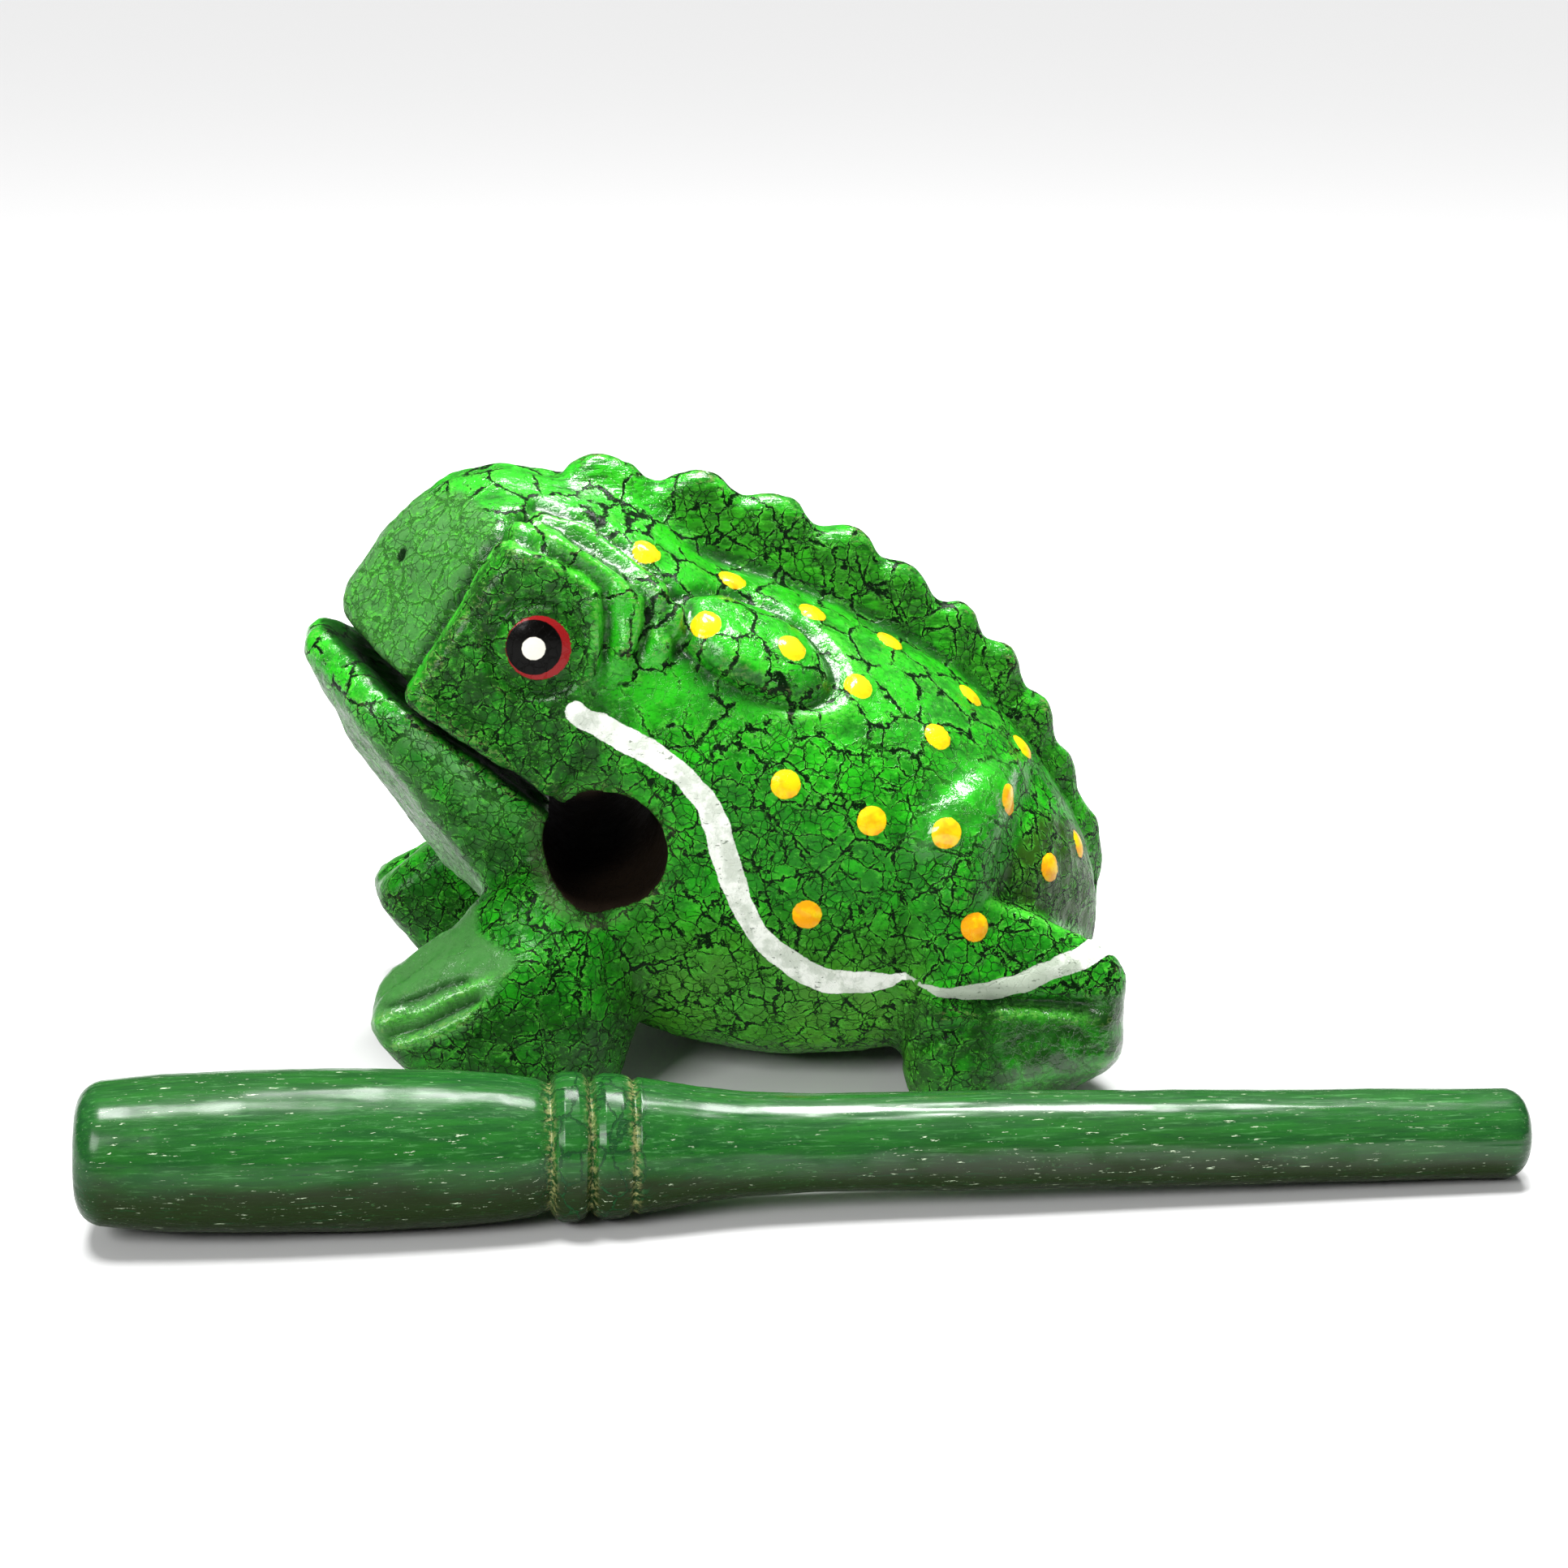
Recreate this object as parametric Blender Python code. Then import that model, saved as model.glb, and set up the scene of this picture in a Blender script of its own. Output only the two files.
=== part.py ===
"""Carved wooden frog guiro with its turned scraper stick.

The frog is one block of wood. It is roughed out as a trunk, a faceted head, a jaw,
a toothed comb along the spine and four splayed feet, then it is bored across the throat,
sawn open along the mouth and grooved at the toes. The stick is turned in one piece, with
a barrel handle, two beads and a long shaft, and it lies on the floor beside the frog.

Sizes are in millimetres. The frog faces -X, its left side is at -Y, and both pieces
stand on z = 0.
"""

import math

import bmesh
import bpy
import numpy as np
from mathutils import Matrix, Vector

MM = 0.001

# Where the two pieces stand
STICK_CLEARANCE = 14.5
FROG_FORWARD = -6.2
SPREAD_CENTRE = -16.465

# Trunk, from the throat to the rump
TRUNK_HALF_WIDTH = 29.0
TRUNK_ROUNDNESS = 2.15
BELLY_ROUNDNESS = 3.2
BELLY_CLEARANCE = 0.8
# Each row is x, back height, belly height above its lowest, and share of the half width.
TRUNK_STATIONS = (
    (-31.0, 60.0, 30.0, 0.38),
    (-24.0, 65.5, 17.0, 0.60),
    (-15.0, 66.2, 7.0, 0.84),
    (-4.0, 63.2, 1.6, 0.90),
    (9.0, 58.5, 0.0, 0.98),
    (20.0, 53.2, 1.0, 1.00),
    (30.0, 46.8, 3.8, 0.92),
    (38.6, 38.0, 7.4, 0.74),
    (43.6, 30.0, 9.6, 0.52),
    (46.4, 23.4, 11.4, 0.32),
    (48.0, 17.0, 14.0, 0.06),
)
TRUNK_RINGS = 44
RING_POINTS = 48

# Head, a wedge with two sloping snout planes
NOSE_X = -46.0
NOSE_Z = 55.0
HEAD_TOP_Z = 73.0
BROW_X = -25.2
BROW_Z = 68.2
HEAD_EDGE_RADIUS = 1.8
CHEEK_HALF_WIDTH = 19.8

# Eye block, a raised flat on each cheek, with two stepped terraces behind it
EYE_X = -22.0
EYE_Z = 56.1
EYE_BLOCK_RISE = 2.8
EYE_BOSS_RADIUS = 5.6
EYE_GROOVE_RADIUS = 0.75
EYE_DOME_RADIUS = 4.2
EYE_DOME_RISE = 0.6
TERRACE_STEP = 4.6
TERRACE_DROP = 1.25
FACE_LEAN = 0.11
FACE_TAPER = 0.07

# Lower jaw
JAW_TIP_X = -50.0
JAW_TIP_Z = 54.6
JAW_EDGE_RADIUS = 3.0

# Throat bore and mouth slit
THROAT_Z = 31.0
BORE_X = -15.0
BORE_Z = 31.8
BORE_RADIUS = 7.3
SLIT_FRONT_GAP = 2.4
SLIT_REAR_GAP = 2.5
MOUTH_X = -46.2
MOUTH_Z = 54.9

# Comb along the spine
# Each row is x and z of a notch, then x and z of the crown behind it.
COMB_TEETH = (
    (-17.4, 73.0, -12.4, 74.0),
    (-7.1, 70.2, -1.2, 71.9),
    (2.8, 68.2, 8.7, 68.6),
    (12.2, 64.4, 17.7, 64.2),
    (20.2, 60.1, 24.7, 59.4),
    (27.1, 54.7, 31.4, 54.2),
    (33.5, 49.4, 36.8, 48.7),
    (38.6, 43.2, 41.6, 41.7),
    (42.4, 36.0, 44.8, 34.4),
    (45.8, 28.2, 48.1, 26.4),
)
COMB_END = (49.0, 19.0)
COMB_ROOT = 5.0
COMB_BASE_HALF = 3.5
COMB_TOP_HALF = 2.4
POINTS_PER_TOOTH = 10

# Shoulder gland, a long raised pad behind the eye
GLAND_X = 3.0
GLAND_Z = 53.8
GLAND_LENGTH = 21.5
GLAND_WIDTH = 11.5
GLAND_RISE = 2.6
GLAND_SLOPE = 27.0

# Legs and feet
FOOT_HALF_SPREAD = 31.6
FRONT_TOE_X = -42.8
FRONT_SOLE_X = -34.0
ELBOW_X = -20.0
THIGH_X = 28.5
THIGH_HALF_SPREAD = 33.0
HIND_TOE_X = 46.8
TOE_GROOVE_RADIUS = 0.9

# Stick
STICK_LENGTH = 161.0
HANDLE_RADIUS = 8.9
TIP_RADIUS = 5.15
STICK_SEGMENTS = 32

# Surface resolution of the carving
ROUGHING_GRAIN = 1.0
CARVING_GRAIN = 0.8
SANDING_PASSES = 4
FACET_SHARE = 0.08

SIDES = (-1, 1)
BODY_GREEN = (0.02, 0.19, 0.03, 1.0)
STICK_GREEN = (0.03, 0.16, 0.05, 1.0)


def clear_scene():
    for obj in list(bpy.data.objects):
        bpy.data.objects.remove(obj)


def painted_wood(name, colour, roughness):
    material = bpy.data.materials.new(name)
    material.use_nodes = True
    shader = material.node_tree.nodes["Principled BSDF"]
    shader.inputs["Base Color"].default_value = colour
    shader.inputs["Roughness"].default_value = roughness
    shader.inputs["Metallic"].default_value = 0.0
    return material


def through(xs, ys, where):
    """A smooth curve through the points (xs, ys), read at where."""
    slopes = np.gradient(ys, xs)
    k = np.clip(np.searchsorted(xs, where) - 1, 0, len(xs) - 2)
    width = xs[k + 1] - xs[k]
    t = (where - xs[k]) / width
    rise = ys[k] * (1 + 2 * t) * (1 - t) ** 2 + ys[k + 1] * t * t * (3 - 2 * t)
    return rise + width * (slopes[k] * t * (1 - t) ** 2 - slopes[k + 1] * t * t * (1 - t))


def loft(mesh, rings):
    """Skins a list of closed rings, each an array of points in millimetres."""
    rows = [[mesh.verts.new(Vector(p) * MM) for p in ring] for ring in rings]
    count = len(rings[0])
    for low, high in zip(rows, rows[1:]):
        for i in range(count):
            j = (i + 1) % count
            mesh.faces.new((low[i], low[j], high[j], high[i]))
    mesh.faces.new(rows[0][::-1])
    mesh.faces.new(rows[-1])


def ball_points(centre, radius, side=1, steps=10):
    """Points of a ball, with y mirrored for the other side of the frog."""
    x, y, z = centre
    points = []
    for i in range(steps + 1):
        polar = math.pi * i / steps
        for j in range(2 * steps):
            turn = math.pi * j / steps
            points.append(
                (
                    x + radius * math.sin(polar) * math.cos(turn),
                    side * y + radius * math.sin(polar) * math.sin(turn),
                    z + radius * math.cos(polar),
                )
            )
    return points


def hull(mesh, points):
    """Adds the convex skin of the points, in millimetres, to the mesh."""
    part = bmesh.new()
    for p in points:
        part.verts.new(Vector(p) * MM)
    bmesh.ops.remove_doubles(part, verts=part.verts[:], dist=1e-6)
    made = bmesh.ops.convex_hull(part, input=part.verts[:], use_existing_faces=False)
    spare = {g for g in made["geom_interior"] + made["geom_unused"]}
    loose = [v for v in part.verts if v in spare or not v.link_faces]
    bmesh.ops.delete(part, geom=loose, context="VERTS")
    bmesh.ops.recalc_face_normals(part, faces=part.faces[:])
    copy = bpy.data.meshes.new("hull")
    part.to_mesh(copy)
    part.free()
    mesh.from_mesh(copy)
    bpy.data.meshes.remove(copy)


def hull_of_balls(mesh, balls, side=1):
    """A rounded wedge: the convex skin around balls, each a centre and a radius."""
    hull(mesh, [p for centre, radius in balls for p in ball_points(centre, radius, side)])


def trunk_profile(x):
    """Back height, belly height and half width of the trunk at x."""
    table = np.array(TRUNK_STATIONS)
    top = through(table[:, 0], table[:, 1], x)
    bottom = BELLY_CLEARANCE + through(table[:, 0], table[:, 2], x)
    half = TRUNK_HALF_WIDTH * through(table[:, 0], table[:, 3], x)
    return top, bottom, half


def trunk_side(x, z):
    """How far the trunk's skin stands from the centre plane at x and height z."""
    top, bottom, half = trunk_profile(x)
    level = np.clip((2 * z - top - bottom) / (top - bottom), -1, 1)
    power = np.where(level > 0, TRUNK_ROUNDNESS, BELLY_ROUNDNESS)
    return half * (1 - abs(level) ** power) ** (1 / power)


def add_trunk(mesh):
    """An egg of superellipse sections, blunt at the throat and drawn in at the rump."""
    first = TRUNK_STATIONS[0][0]
    last = TRUNK_STATIONS[-1][0]
    along = first + (last - first) * np.sin(np.linspace(0, math.pi / 2, TRUNK_RINGS))
    turn = np.linspace(0, 2 * math.pi, RING_POINTS, endpoint=False)
    power = 2 / np.where(turn < math.pi, TRUNK_ROUNDNESS, BELLY_ROUNDNESS)
    across = np.sign(np.cos(turn)) * np.abs(np.cos(turn)) ** power
    rise = np.sign(np.sin(turn)) * np.abs(np.sin(turn)) ** power
    rings = []
    for x in along:
        top, bottom, half = trunk_profile(x)
        middle = (top + bottom) / 2
        height = (top - bottom) / 2
        ring = np.stack([np.full(RING_POINTS, x), half * across, middle + height * rise], 1)
        rings.append(ring)
    loft(mesh, rings)


def add_head(mesh):
    """The faceted head: snout planes, sloping brows and flat cheeks."""
    r = HEAD_EDGE_RADIUS
    cheek = CHEEK_HALF_WIDTH
    for side in SIDES:
        hull_of_balls(
            mesh,
            [
                ((NOSE_X + 2.6, 1.6, NOSE_Z + 2.2), r),
                ((NOSE_X + 7.4, 1.6, NOSE_Z + 9.2), r),
                ((NOSE_X + 11.0, 1.6, HEAD_TOP_Z - 5.5), r),
                ((NOSE_X + 14.8, 1.6, HEAD_TOP_Z - 2.9), r),
                ((NOSE_X + 20.0, 1.6, HEAD_TOP_Z - 1.7), r),
                ((BORE_X + 3.0, 2.0, HEAD_TOP_Z - 4.4), r),
                ((BORE_X + 20.0, 2.0, HEAD_TOP_Z - 17.0), r),
                ((BROW_X + 0.8, cheek - 2.4, BROW_Z - 2.4), r),
                ((NOSE_X + 10.2, cheek - 3.2, NOSE_Z - 8.5), r),
                ((BORE_X - 5.0, cheek - 1.0, THROAT_Z + 3.0), r),
                ((BORE_X + 12.0, cheek + 0.6, THROAT_Z + 4.0), r),
                ((BORE_X + 6.0, cheek - 3.4, BROW_Z - 7.6), r),
                ((BORE_X + 21.0, cheek - 2.6, BROW_Z - 16.6), r),
                ((NOSE_X + 16.0, 0.0, NOSE_Z - 18.0), r),
            ],
            side,
        )


def face_y(x, z, drop):
    """Distance of the eye block's flat from the centre plane, sunk by drop."""
    lean = FACE_LEAN * (EYE_Z - z)
    taper = FACE_TAPER * (x - EYE_X)
    return CHEEK_HALF_WIDTH + EYE_BLOCK_RISE + lean + taper - drop


def add_eye_blocks(mesh):
    """A flat block around each eye, then two wider and lower terraces behind it."""
    for side in SIDES:
        for step in range(3):
            shift = TERRACE_STEP * step
            drop = TERRACE_DROP * step
            # Each corner is x, z and rounding radius.
            corners = (
                (BROW_X + 0.4 + 0.5 * shift, BROW_Z - 2.4 + 0.14 * shift, 0.9),
                (NOSE_X + 9.0, NOSE_Z - 6.6, 0.9),
                (BORE_X - 7.4, THROAT_Z + 6.8, 1.2),
                (EYE_X + 5.0 + shift, EYE_Z - 8.6, 1.6),
                (EYE_X + 4.6 + shift, BROW_Z - 8.6 - 0.1 * shift, 2.4),
            )
            balls = []
            for x, z, r in corners:
                y = face_y(x, z, drop) - r
                balls.append(((x, y, z), r))
                balls.append(((x, y - 5.0, z), r))
            hull_of_balls(mesh, balls, side)
        y = face_y(EYE_X, EYE_Z, 0)
        flat = Matrix.Diagonal((EYE_DOME_RADIUS, EYE_DOME_RISE * 2, EYE_DOME_RADIUS))
        centre = Vector((EYE_X, side * (y - EYE_DOME_RISE), EYE_Z))
        hull(mesh, [centre + flat @ Vector(p) for p in ball_points((0, 0, 0), 1)])


def add_jaw(mesh):
    """The lower jaw: a thick tongue that runs from its blunt tip down to the throat."""
    r = JAW_EDGE_RADIUS
    for side in SIDES:
        hull_of_balls(
            mesh,
            [
                ((JAW_TIP_X + r, 1.8, JAW_TIP_Z - r), r),
                ((JAW_TIP_X + 8.6, 12.2, JAW_TIP_Z - 8.0), r),
                ((JAW_TIP_X + 8.0, 2.4, JAW_TIP_Z - 13.4), r),
                ((BORE_X - 5.0, 18.4, THROAT_Z + 3.6), r),
                ((BORE_X - 8.0, 14.6, THROAT_Z - 8.6), r + 1.0),
                ((BORE_X - 16.0, 2.0, THROAT_Z - 4.4), r + 1.0),
                ((BORE_X + 6.0, 4.0, THROAT_Z - 10.0), r + 2.0),
            ],
            side,
        )


def comb_crest():
    """Points along the crest: each tooth swells from its notch and rolls over its crown."""
    notches = [Vector(row[:2]) for row in COMB_TEETH] + [Vector(COMB_END)]
    points = []
    for number, row in enumerate(COMB_TEETH):
        crown = Vector(row[2:])
        low, high = notches[number], notches[number + 1]
        lead = (high - low) * 0.22
        for start, bend, end in ((low, crown - lead, crown), (crown, crown + lead, high)):
            for k in range(POINTS_PER_TOOTH // 2):
                t = 2 * k / POINTS_PER_TOOTH
                points.append(start * (1 - t) ** 2 + bend * 2 * t * (1 - t) + end * t * t)
    points.append(notches[-1])
    return points


def add_comb(mesh):
    """The toothed comb: rounded teeth with sharp notches, smaller towards the rump."""
    x = np.linspace(COMB_TEETH[0][0] - 4.0, TRUNK_STATIONS[-1][0], 600)
    z = trunk_profile(x)[0]
    sections = []
    for crest in comb_crest():
        near = int(np.argmin(np.hypot(x - crest.x, z - crest.y)))
        behind, ahead = max(near - 6, 0), min(near + 6, len(x) - 1)
        out = Vector((z[behind] - z[ahead], 0, x[ahead] - x[behind])).normalized()
        top = Vector((crest.x, 0, crest.y))
        high = max((top - Vector((x[near], 0, z[near]))).dot(out), 0.4)
        slim = 0.75 + 0.25 * min(high / 8.0, 1.0)
        cap = min(1.6, high * 0.4)
        section = []
        for across, down in (
            (-COMB_BASE_HALF, high + COMB_ROOT),
            (-COMB_BASE_HALF, high),
            (-COMB_TOP_HALF, cap),
            (-COMB_TOP_HALF * 0.5, 0.0),
            (COMB_TOP_HALF * 0.5, 0.0),
            (COMB_TOP_HALF, cap),
            (COMB_BASE_HALF, high),
            (COMB_BASE_HALF, high + COMB_ROOT),
        ):
            section.append(top - out * down + Vector((0, across * slim, 0)))
        sections.append(section)
    loft(mesh, sections)


def add_glands(mesh):
    """A long low pad on each shoulder, lying in the slope of the back."""
    slope = math.radians(GLAND_SLOPE)
    for side in SIDES:
        y = float(trunk_side(GLAND_X, GLAND_Z))
        above = float(trunk_side(GLAND_X, GLAND_Z + 3.0))
        centre = Vector((GLAND_X, side * (y - 0.2), GLAND_Z))
        along = Vector((math.cos(slope), side * 0.12, -math.sin(slope))).normalized()
        up = Vector((0, side * (above - y), 3.0)).normalized()
        out = along.cross(up).normalized()
        up = out.cross(along).normalized()
        points = []
        for p in ball_points((0, 0, 0), 1.0):
            points.append(
                centre
                + along * p[0] * GLAND_LENGTH / 2
                + up * p[2] * GLAND_WIDTH / 2
                + out * p[1] * GLAND_RISE
            )
        hull(mesh, points)


def add_front_legs(mesh):
    """A short upright arm and a steep wedge of a foot that points forward and outward."""
    wide = FOOT_HALF_SPREAD
    for side in SIDES:
        hull_of_balls(
            mesh,
            [
                ((ELBOW_X + 1.0, wide - 12.0, 24.0), 6.5),
                ((ELBOW_X + 3.0, wide - 13.0, 15.0), 7.5),
                ((ELBOW_X - 1.6, wide - 8.4, 12.5), 8.0),
                ((ELBOW_X - 1.0, wide - 9.0, 3.0), 7.0),
                ((ELBOW_X - 7.0, wide - 12.0, 20.0), 5.5),
            ],
            side,
        )
        hull_of_balls(
            mesh,
            [
                ((FRONT_TOE_X + 3.4, wide - 5.6, 12.0), 3.6),
                ((FRONT_TOE_X + 3.8, wide - 12.6, 13.0), 3.4),
                ((ELBOW_X - 7.0, wide - 12.4, 21.0), 3.6),
                ((ELBOW_X - 4.0, wide - 6.0, 17.0), 5.0),
                ((FRONT_SOLE_X + 3.0, wide - 6.6, 2.5), 4.0),
                ((FRONT_SOLE_X + 4.0, wide - 13.6, 2.5), 4.0),
                ((ELBOW_X - 2.0, wide - 7.0, 2.5), 6.0),
            ],
            side,
        )


def add_hind_legs(mesh):
    """A full thigh over a wedge of a foot that points backward and outward."""
    wide = THIGH_HALF_SPREAD
    for side in SIDES:
        hull_of_balls(
            mesh,
            [
                ((THIGH_X - 2.0, wide - 8.6, 13.0), 8.0),
                ((THIGH_X - 4.0, wide - 12.0, 26.0), 8.0),
                ((THIGH_X - 3.4, wide - 12.6, 31.0), 8.2),
            ],
            side,
        )
        hull_of_balls(
            mesh,
            [
                ((THIGH_X - 3.0, wide - 6.2, 4.0), 5.6),
                ((THIGH_X - 3.0, wide - 6.4, 11.0), 5.4),
                ((HIND_TOE_X - 4.2, wide - 6.4, 14.2), 4.2),
                ((HIND_TOE_X - 4.4, wide - 5.6, 7.0), 4.2),
                ((HIND_TOE_X - 8.0, wide - 14.0, 8.0), 5.0),
                ((HIND_TOE_X - 12.0, wide - 8.0, 2.4), 5.0),
                ((THIGH_X - 0.5, wide - 8.2, 22.6), 3.6),
                ((THIGH_X - 2.0, wide - 14.0, 4.0), 5.6),
            ],
            side,
        )


def cutter(name, build, folder, place):
    """A hidden closed mesh that the carving is cut with."""
    mesh = bmesh.new()
    build(mesh)
    bmesh.ops.recalc_face_normals(mesh, faces=mesh.faces[:])
    data = bpy.data.meshes.new(name)
    mesh.to_mesh(data)
    mesh.free()
    obj = bpy.data.objects.new(name, data)
    folder.objects.link(obj)
    obj.parent = place
    obj.hide_render = True
    obj.display_type = "WIRE"
    return obj


def turned_ring(centre, radius, y, points=40):
    """A ring of points around a line that runs along Y."""
    turn = np.linspace(0, 2 * math.pi, points, endpoint=False)
    return np.stack(
        [centre[0] + radius * np.cos(turn), np.full(points, y), centre[1] + radius * np.sin(turn)],
        1,
    )


def cut_bore(mesh):
    """The hole across the throat, from side to side."""
    wide = TRUNK_HALF_WIDTH + 20.0
    centre = (BORE_X, BORE_Z)
    loft(mesh, [turned_ring(centre, BORE_RADIUS, y) for y in (-wide, wide)])


def cut_slit(mesh):
    """The saw cut of the mouth, from the bore out past the nose, wider in front."""
    rear = Vector((BORE_X, THROAT_Z + 1.0))
    front = Vector((MOUTH_X, MOUTH_Z))
    along = (front - rear).normalized()
    across = Vector((-along.y, along.x))
    past = front + along * 14.0
    half_rear = across * SLIT_REAR_GAP / 2
    spread = (past - rear).length / (front - rear).length
    half_past = across * (SLIT_REAR_GAP + (SLIT_FRONT_GAP - SLIT_REAR_GAP) * spread) / 2
    outline = [rear + half_rear, past + half_past, past - half_past, rear - half_rear]
    wide = TRUNK_HALF_WIDTH + 20.0
    loft(mesh, [[(p.x, y, p.y) for p in outline] for y in (-wide, wide)])


def cut_floor(mesh):
    """Everything below the plane that the feet stand on."""
    outline = ((-70.0, -30.0), (70.0, -30.0), (70.0, 0.0), (-70.0, 0.0))
    loft(mesh, [[(x, y, z) for x, z in outline] for y in (-60.0, 60.0)])


def groove(start, end, out, side):
    """A V groove between two points of the skin: thin at its root, wide outside it."""
    r = TOE_GROOVE_RADIUS
    inner = [(Vector(p) - Vector(out) * r * 0.6, r * 0.5) for p in (start, end)]
    outer = [(Vector(p) + Vector(out) * 4.0, r * 2.6) for p in (start, end)]

    def build(mesh):
        hull_of_balls(mesh, [(tuple(c), q) for c, q in inner + outer], side)

    return build


def eye_ring(side):
    def build(mesh):
        """A ring cut around the eye boss."""
        y = side * face_y(EYE_X, EYE_Z, 0)
        turn = np.linspace(0, 2 * math.pi, 36, endpoint=False)
        rings = []
        for a in turn:
            radial = Vector((math.cos(a), -side * FACE_TAPER * math.cos(a), math.sin(a)))
            lean = side * (FACE_TAPER * math.cos(a) - FACE_LEAN * math.sin(a))
            centre = Vector((EYE_X, y, EYE_Z)) + EYE_BOSS_RADIUS * Vector(
                (math.cos(a), lean, math.sin(a))
            )
            ring = []
            for k in range(8):
                b = 2 * math.pi * k / 8
                ring.append(
                    centre
                    + radial * EYE_GROOVE_RADIUS * math.cos(b)
                    + Vector((0, EYE_GROOVE_RADIUS * math.sin(b), 0))
                )
            rings.append(ring)
        rows = [[mesh.verts.new(p * MM) for p in ring] for ring in rings]
        for low, high in zip(rows, rows[1:] + rows[:1]):
            for i in range(8):
                j = (i + 1) % 8
                mesh.faces.new((low[i], low[j], high[j], high[i]))

    return build


def make_frog(place):
    """The carving, from joined rough forms to the bored, sawn and grooved frog."""
    mesh = bmesh.new()
    for add in (
        add_trunk,
        add_head,
        add_eye_blocks,
        add_jaw,
        add_comb,
        add_glands,
        add_front_legs,
        add_hind_legs,
    ):
        add(mesh)
    data = bpy.data.meshes.new("frog_body")
    mesh.to_mesh(data)
    mesh.free()
    frog = bpy.data.objects.new("frog_body", data)
    bpy.context.scene.collection.objects.link(frog)
    frog.parent = place
    data.materials.append(painted_wood("green_lacquer", BODY_GREEN, 0.3))

    carving = new_folder("carving_cutters")
    cutter("slit_cutter", cut_slit, carving, place)
    for side in SIDES:
        name = "left" if side < 0 else "right"
        cutter(f"eye_ring_{name}", eye_ring(side), carving, place)
        for number, (start, end, out) in enumerate(toe_grooves()):
            cutter(f"toe_groove_{name}_{number}", groove(start, end, out, side), carving, place)
    machining = new_folder("machining_cutters")
    cutter("bore_cutter", cut_bore, machining, place)
    cutter("floor_cutter", cut_floor, machining, place)

    fuse(frog, "join", ROUGHING_GRAIN)
    cut(frog, "carve", carving)
    fuse(frog, "even", CARVING_GRAIN)
    sand = frog.modifiers.new("sand", "SMOOTH")
    sand.factor = 0.5
    sand.iterations = SANDING_PASSES
    facets = frog.modifiers.new("facets", "DECIMATE")
    facets.ratio = FACET_SHARE
    cut(frog, "bore_and_saw_flat", machining)
    return frog


def new_folder(name):
    folder = bpy.data.collections.new(name)
    bpy.context.scene.collection.children.link(folder)
    return folder


def fuse(obj, name, grain):
    """Makes one even skin of everything in the mesh, in steps of grain."""
    remesh = obj.modifiers.new(name, "REMESH")
    remesh.mode = "VOXEL"
    remesh.voxel_size = grain * MM


def cut(obj, name, tools):
    boolean = obj.modifiers.new(name, "BOOLEAN")
    boolean.operation = "DIFFERENCE"
    boolean.operand_type = "COLLECTION"
    boolean.collection = tools
    boolean.solver = "EXACT"


def toe_grooves():
    """The grooves that part the toes: start, end and outward direction of each."""
    front = FOOT_HALF_SPREAD
    hind = THIGH_HALF_SPREAD
    up = Vector((-0.55, 0.15, 0.82)).normalized()
    out = Vector((0.1, 0.9, 0.42)).normalized()
    return (
        ((FRONT_TOE_X + 1.5, front - 9.4, 14.4), (ELBOW_X - 9.0, front - 8.6, 23.0), up),
        ((FRONT_TOE_X + 2.5, front - 3.2, 12.6), (ELBOW_X - 8.0, front - 2.8, 18.6), out),
        ((HIND_TOE_X - 18.0, hind - 0.2, 11.6), (HIND_TOE_X - 1.5, hind - 2.0, 11.6), out),
        ((HIND_TOE_X - 12.0, hind + 0.4, 7.6), (HIND_TOE_X - 0.6, hind - 2.0, 8.4), out),
    )


def stick_profile():
    """Distance from the handle's end and radius, along the turned stick."""
    big = HANDLE_RADIUS
    tip = TIP_RADIUS
    end_round = 3.2
    tip_round = 2.4
    points = []
    for k in range(7):
        a = math.pi / 2 * k / 6
        points.append(
            (end_round * (1 - math.cos(a)), big - 0.9 - end_round * (1 - math.sin(a)))
        )
    points[0] = (0.0, big - 0.9 - end_round)
    points += [
        (9.0, big - 0.35),
        (18.0, big),
        (30.0, big),
        (40.0, big - 0.3),
        (46.0, big - 0.8),
        (49.5, big - 1.35),
        (51.0, big - 2.0),
        (51.6, big - 1.0),
        (52.4, big - 0.65),
        (54.0, big - 0.65),
        (54.8, big - 1.0),
        (55.4, big - 2.0),
        (56.0, big - 1.2),
        (56.9, big - 0.85),
        (58.8, big - 0.95),
        (59.6, big - 1.2),
        (60.1, big - 1.7),
        (60.8, big - 1.35),
        (63.0, big - 1.7),
        (67.5, big - 2.5),
        (72.5, big - 3.1),
        (80.0, big - 3.4),
        (100.0, tip + 0.4),
        (130.0, tip + 0.2),
        (STICK_LENGTH - tip_round - 4.0, tip),
    ]
    for k in range(7):
        a = math.pi / 2 * k / 6
        points.append(
            (
                STICK_LENGTH - tip_round + tip_round * math.sin(a),
                tip - tip_round * (1 - math.cos(a)),
            )
        )
    return points


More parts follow.
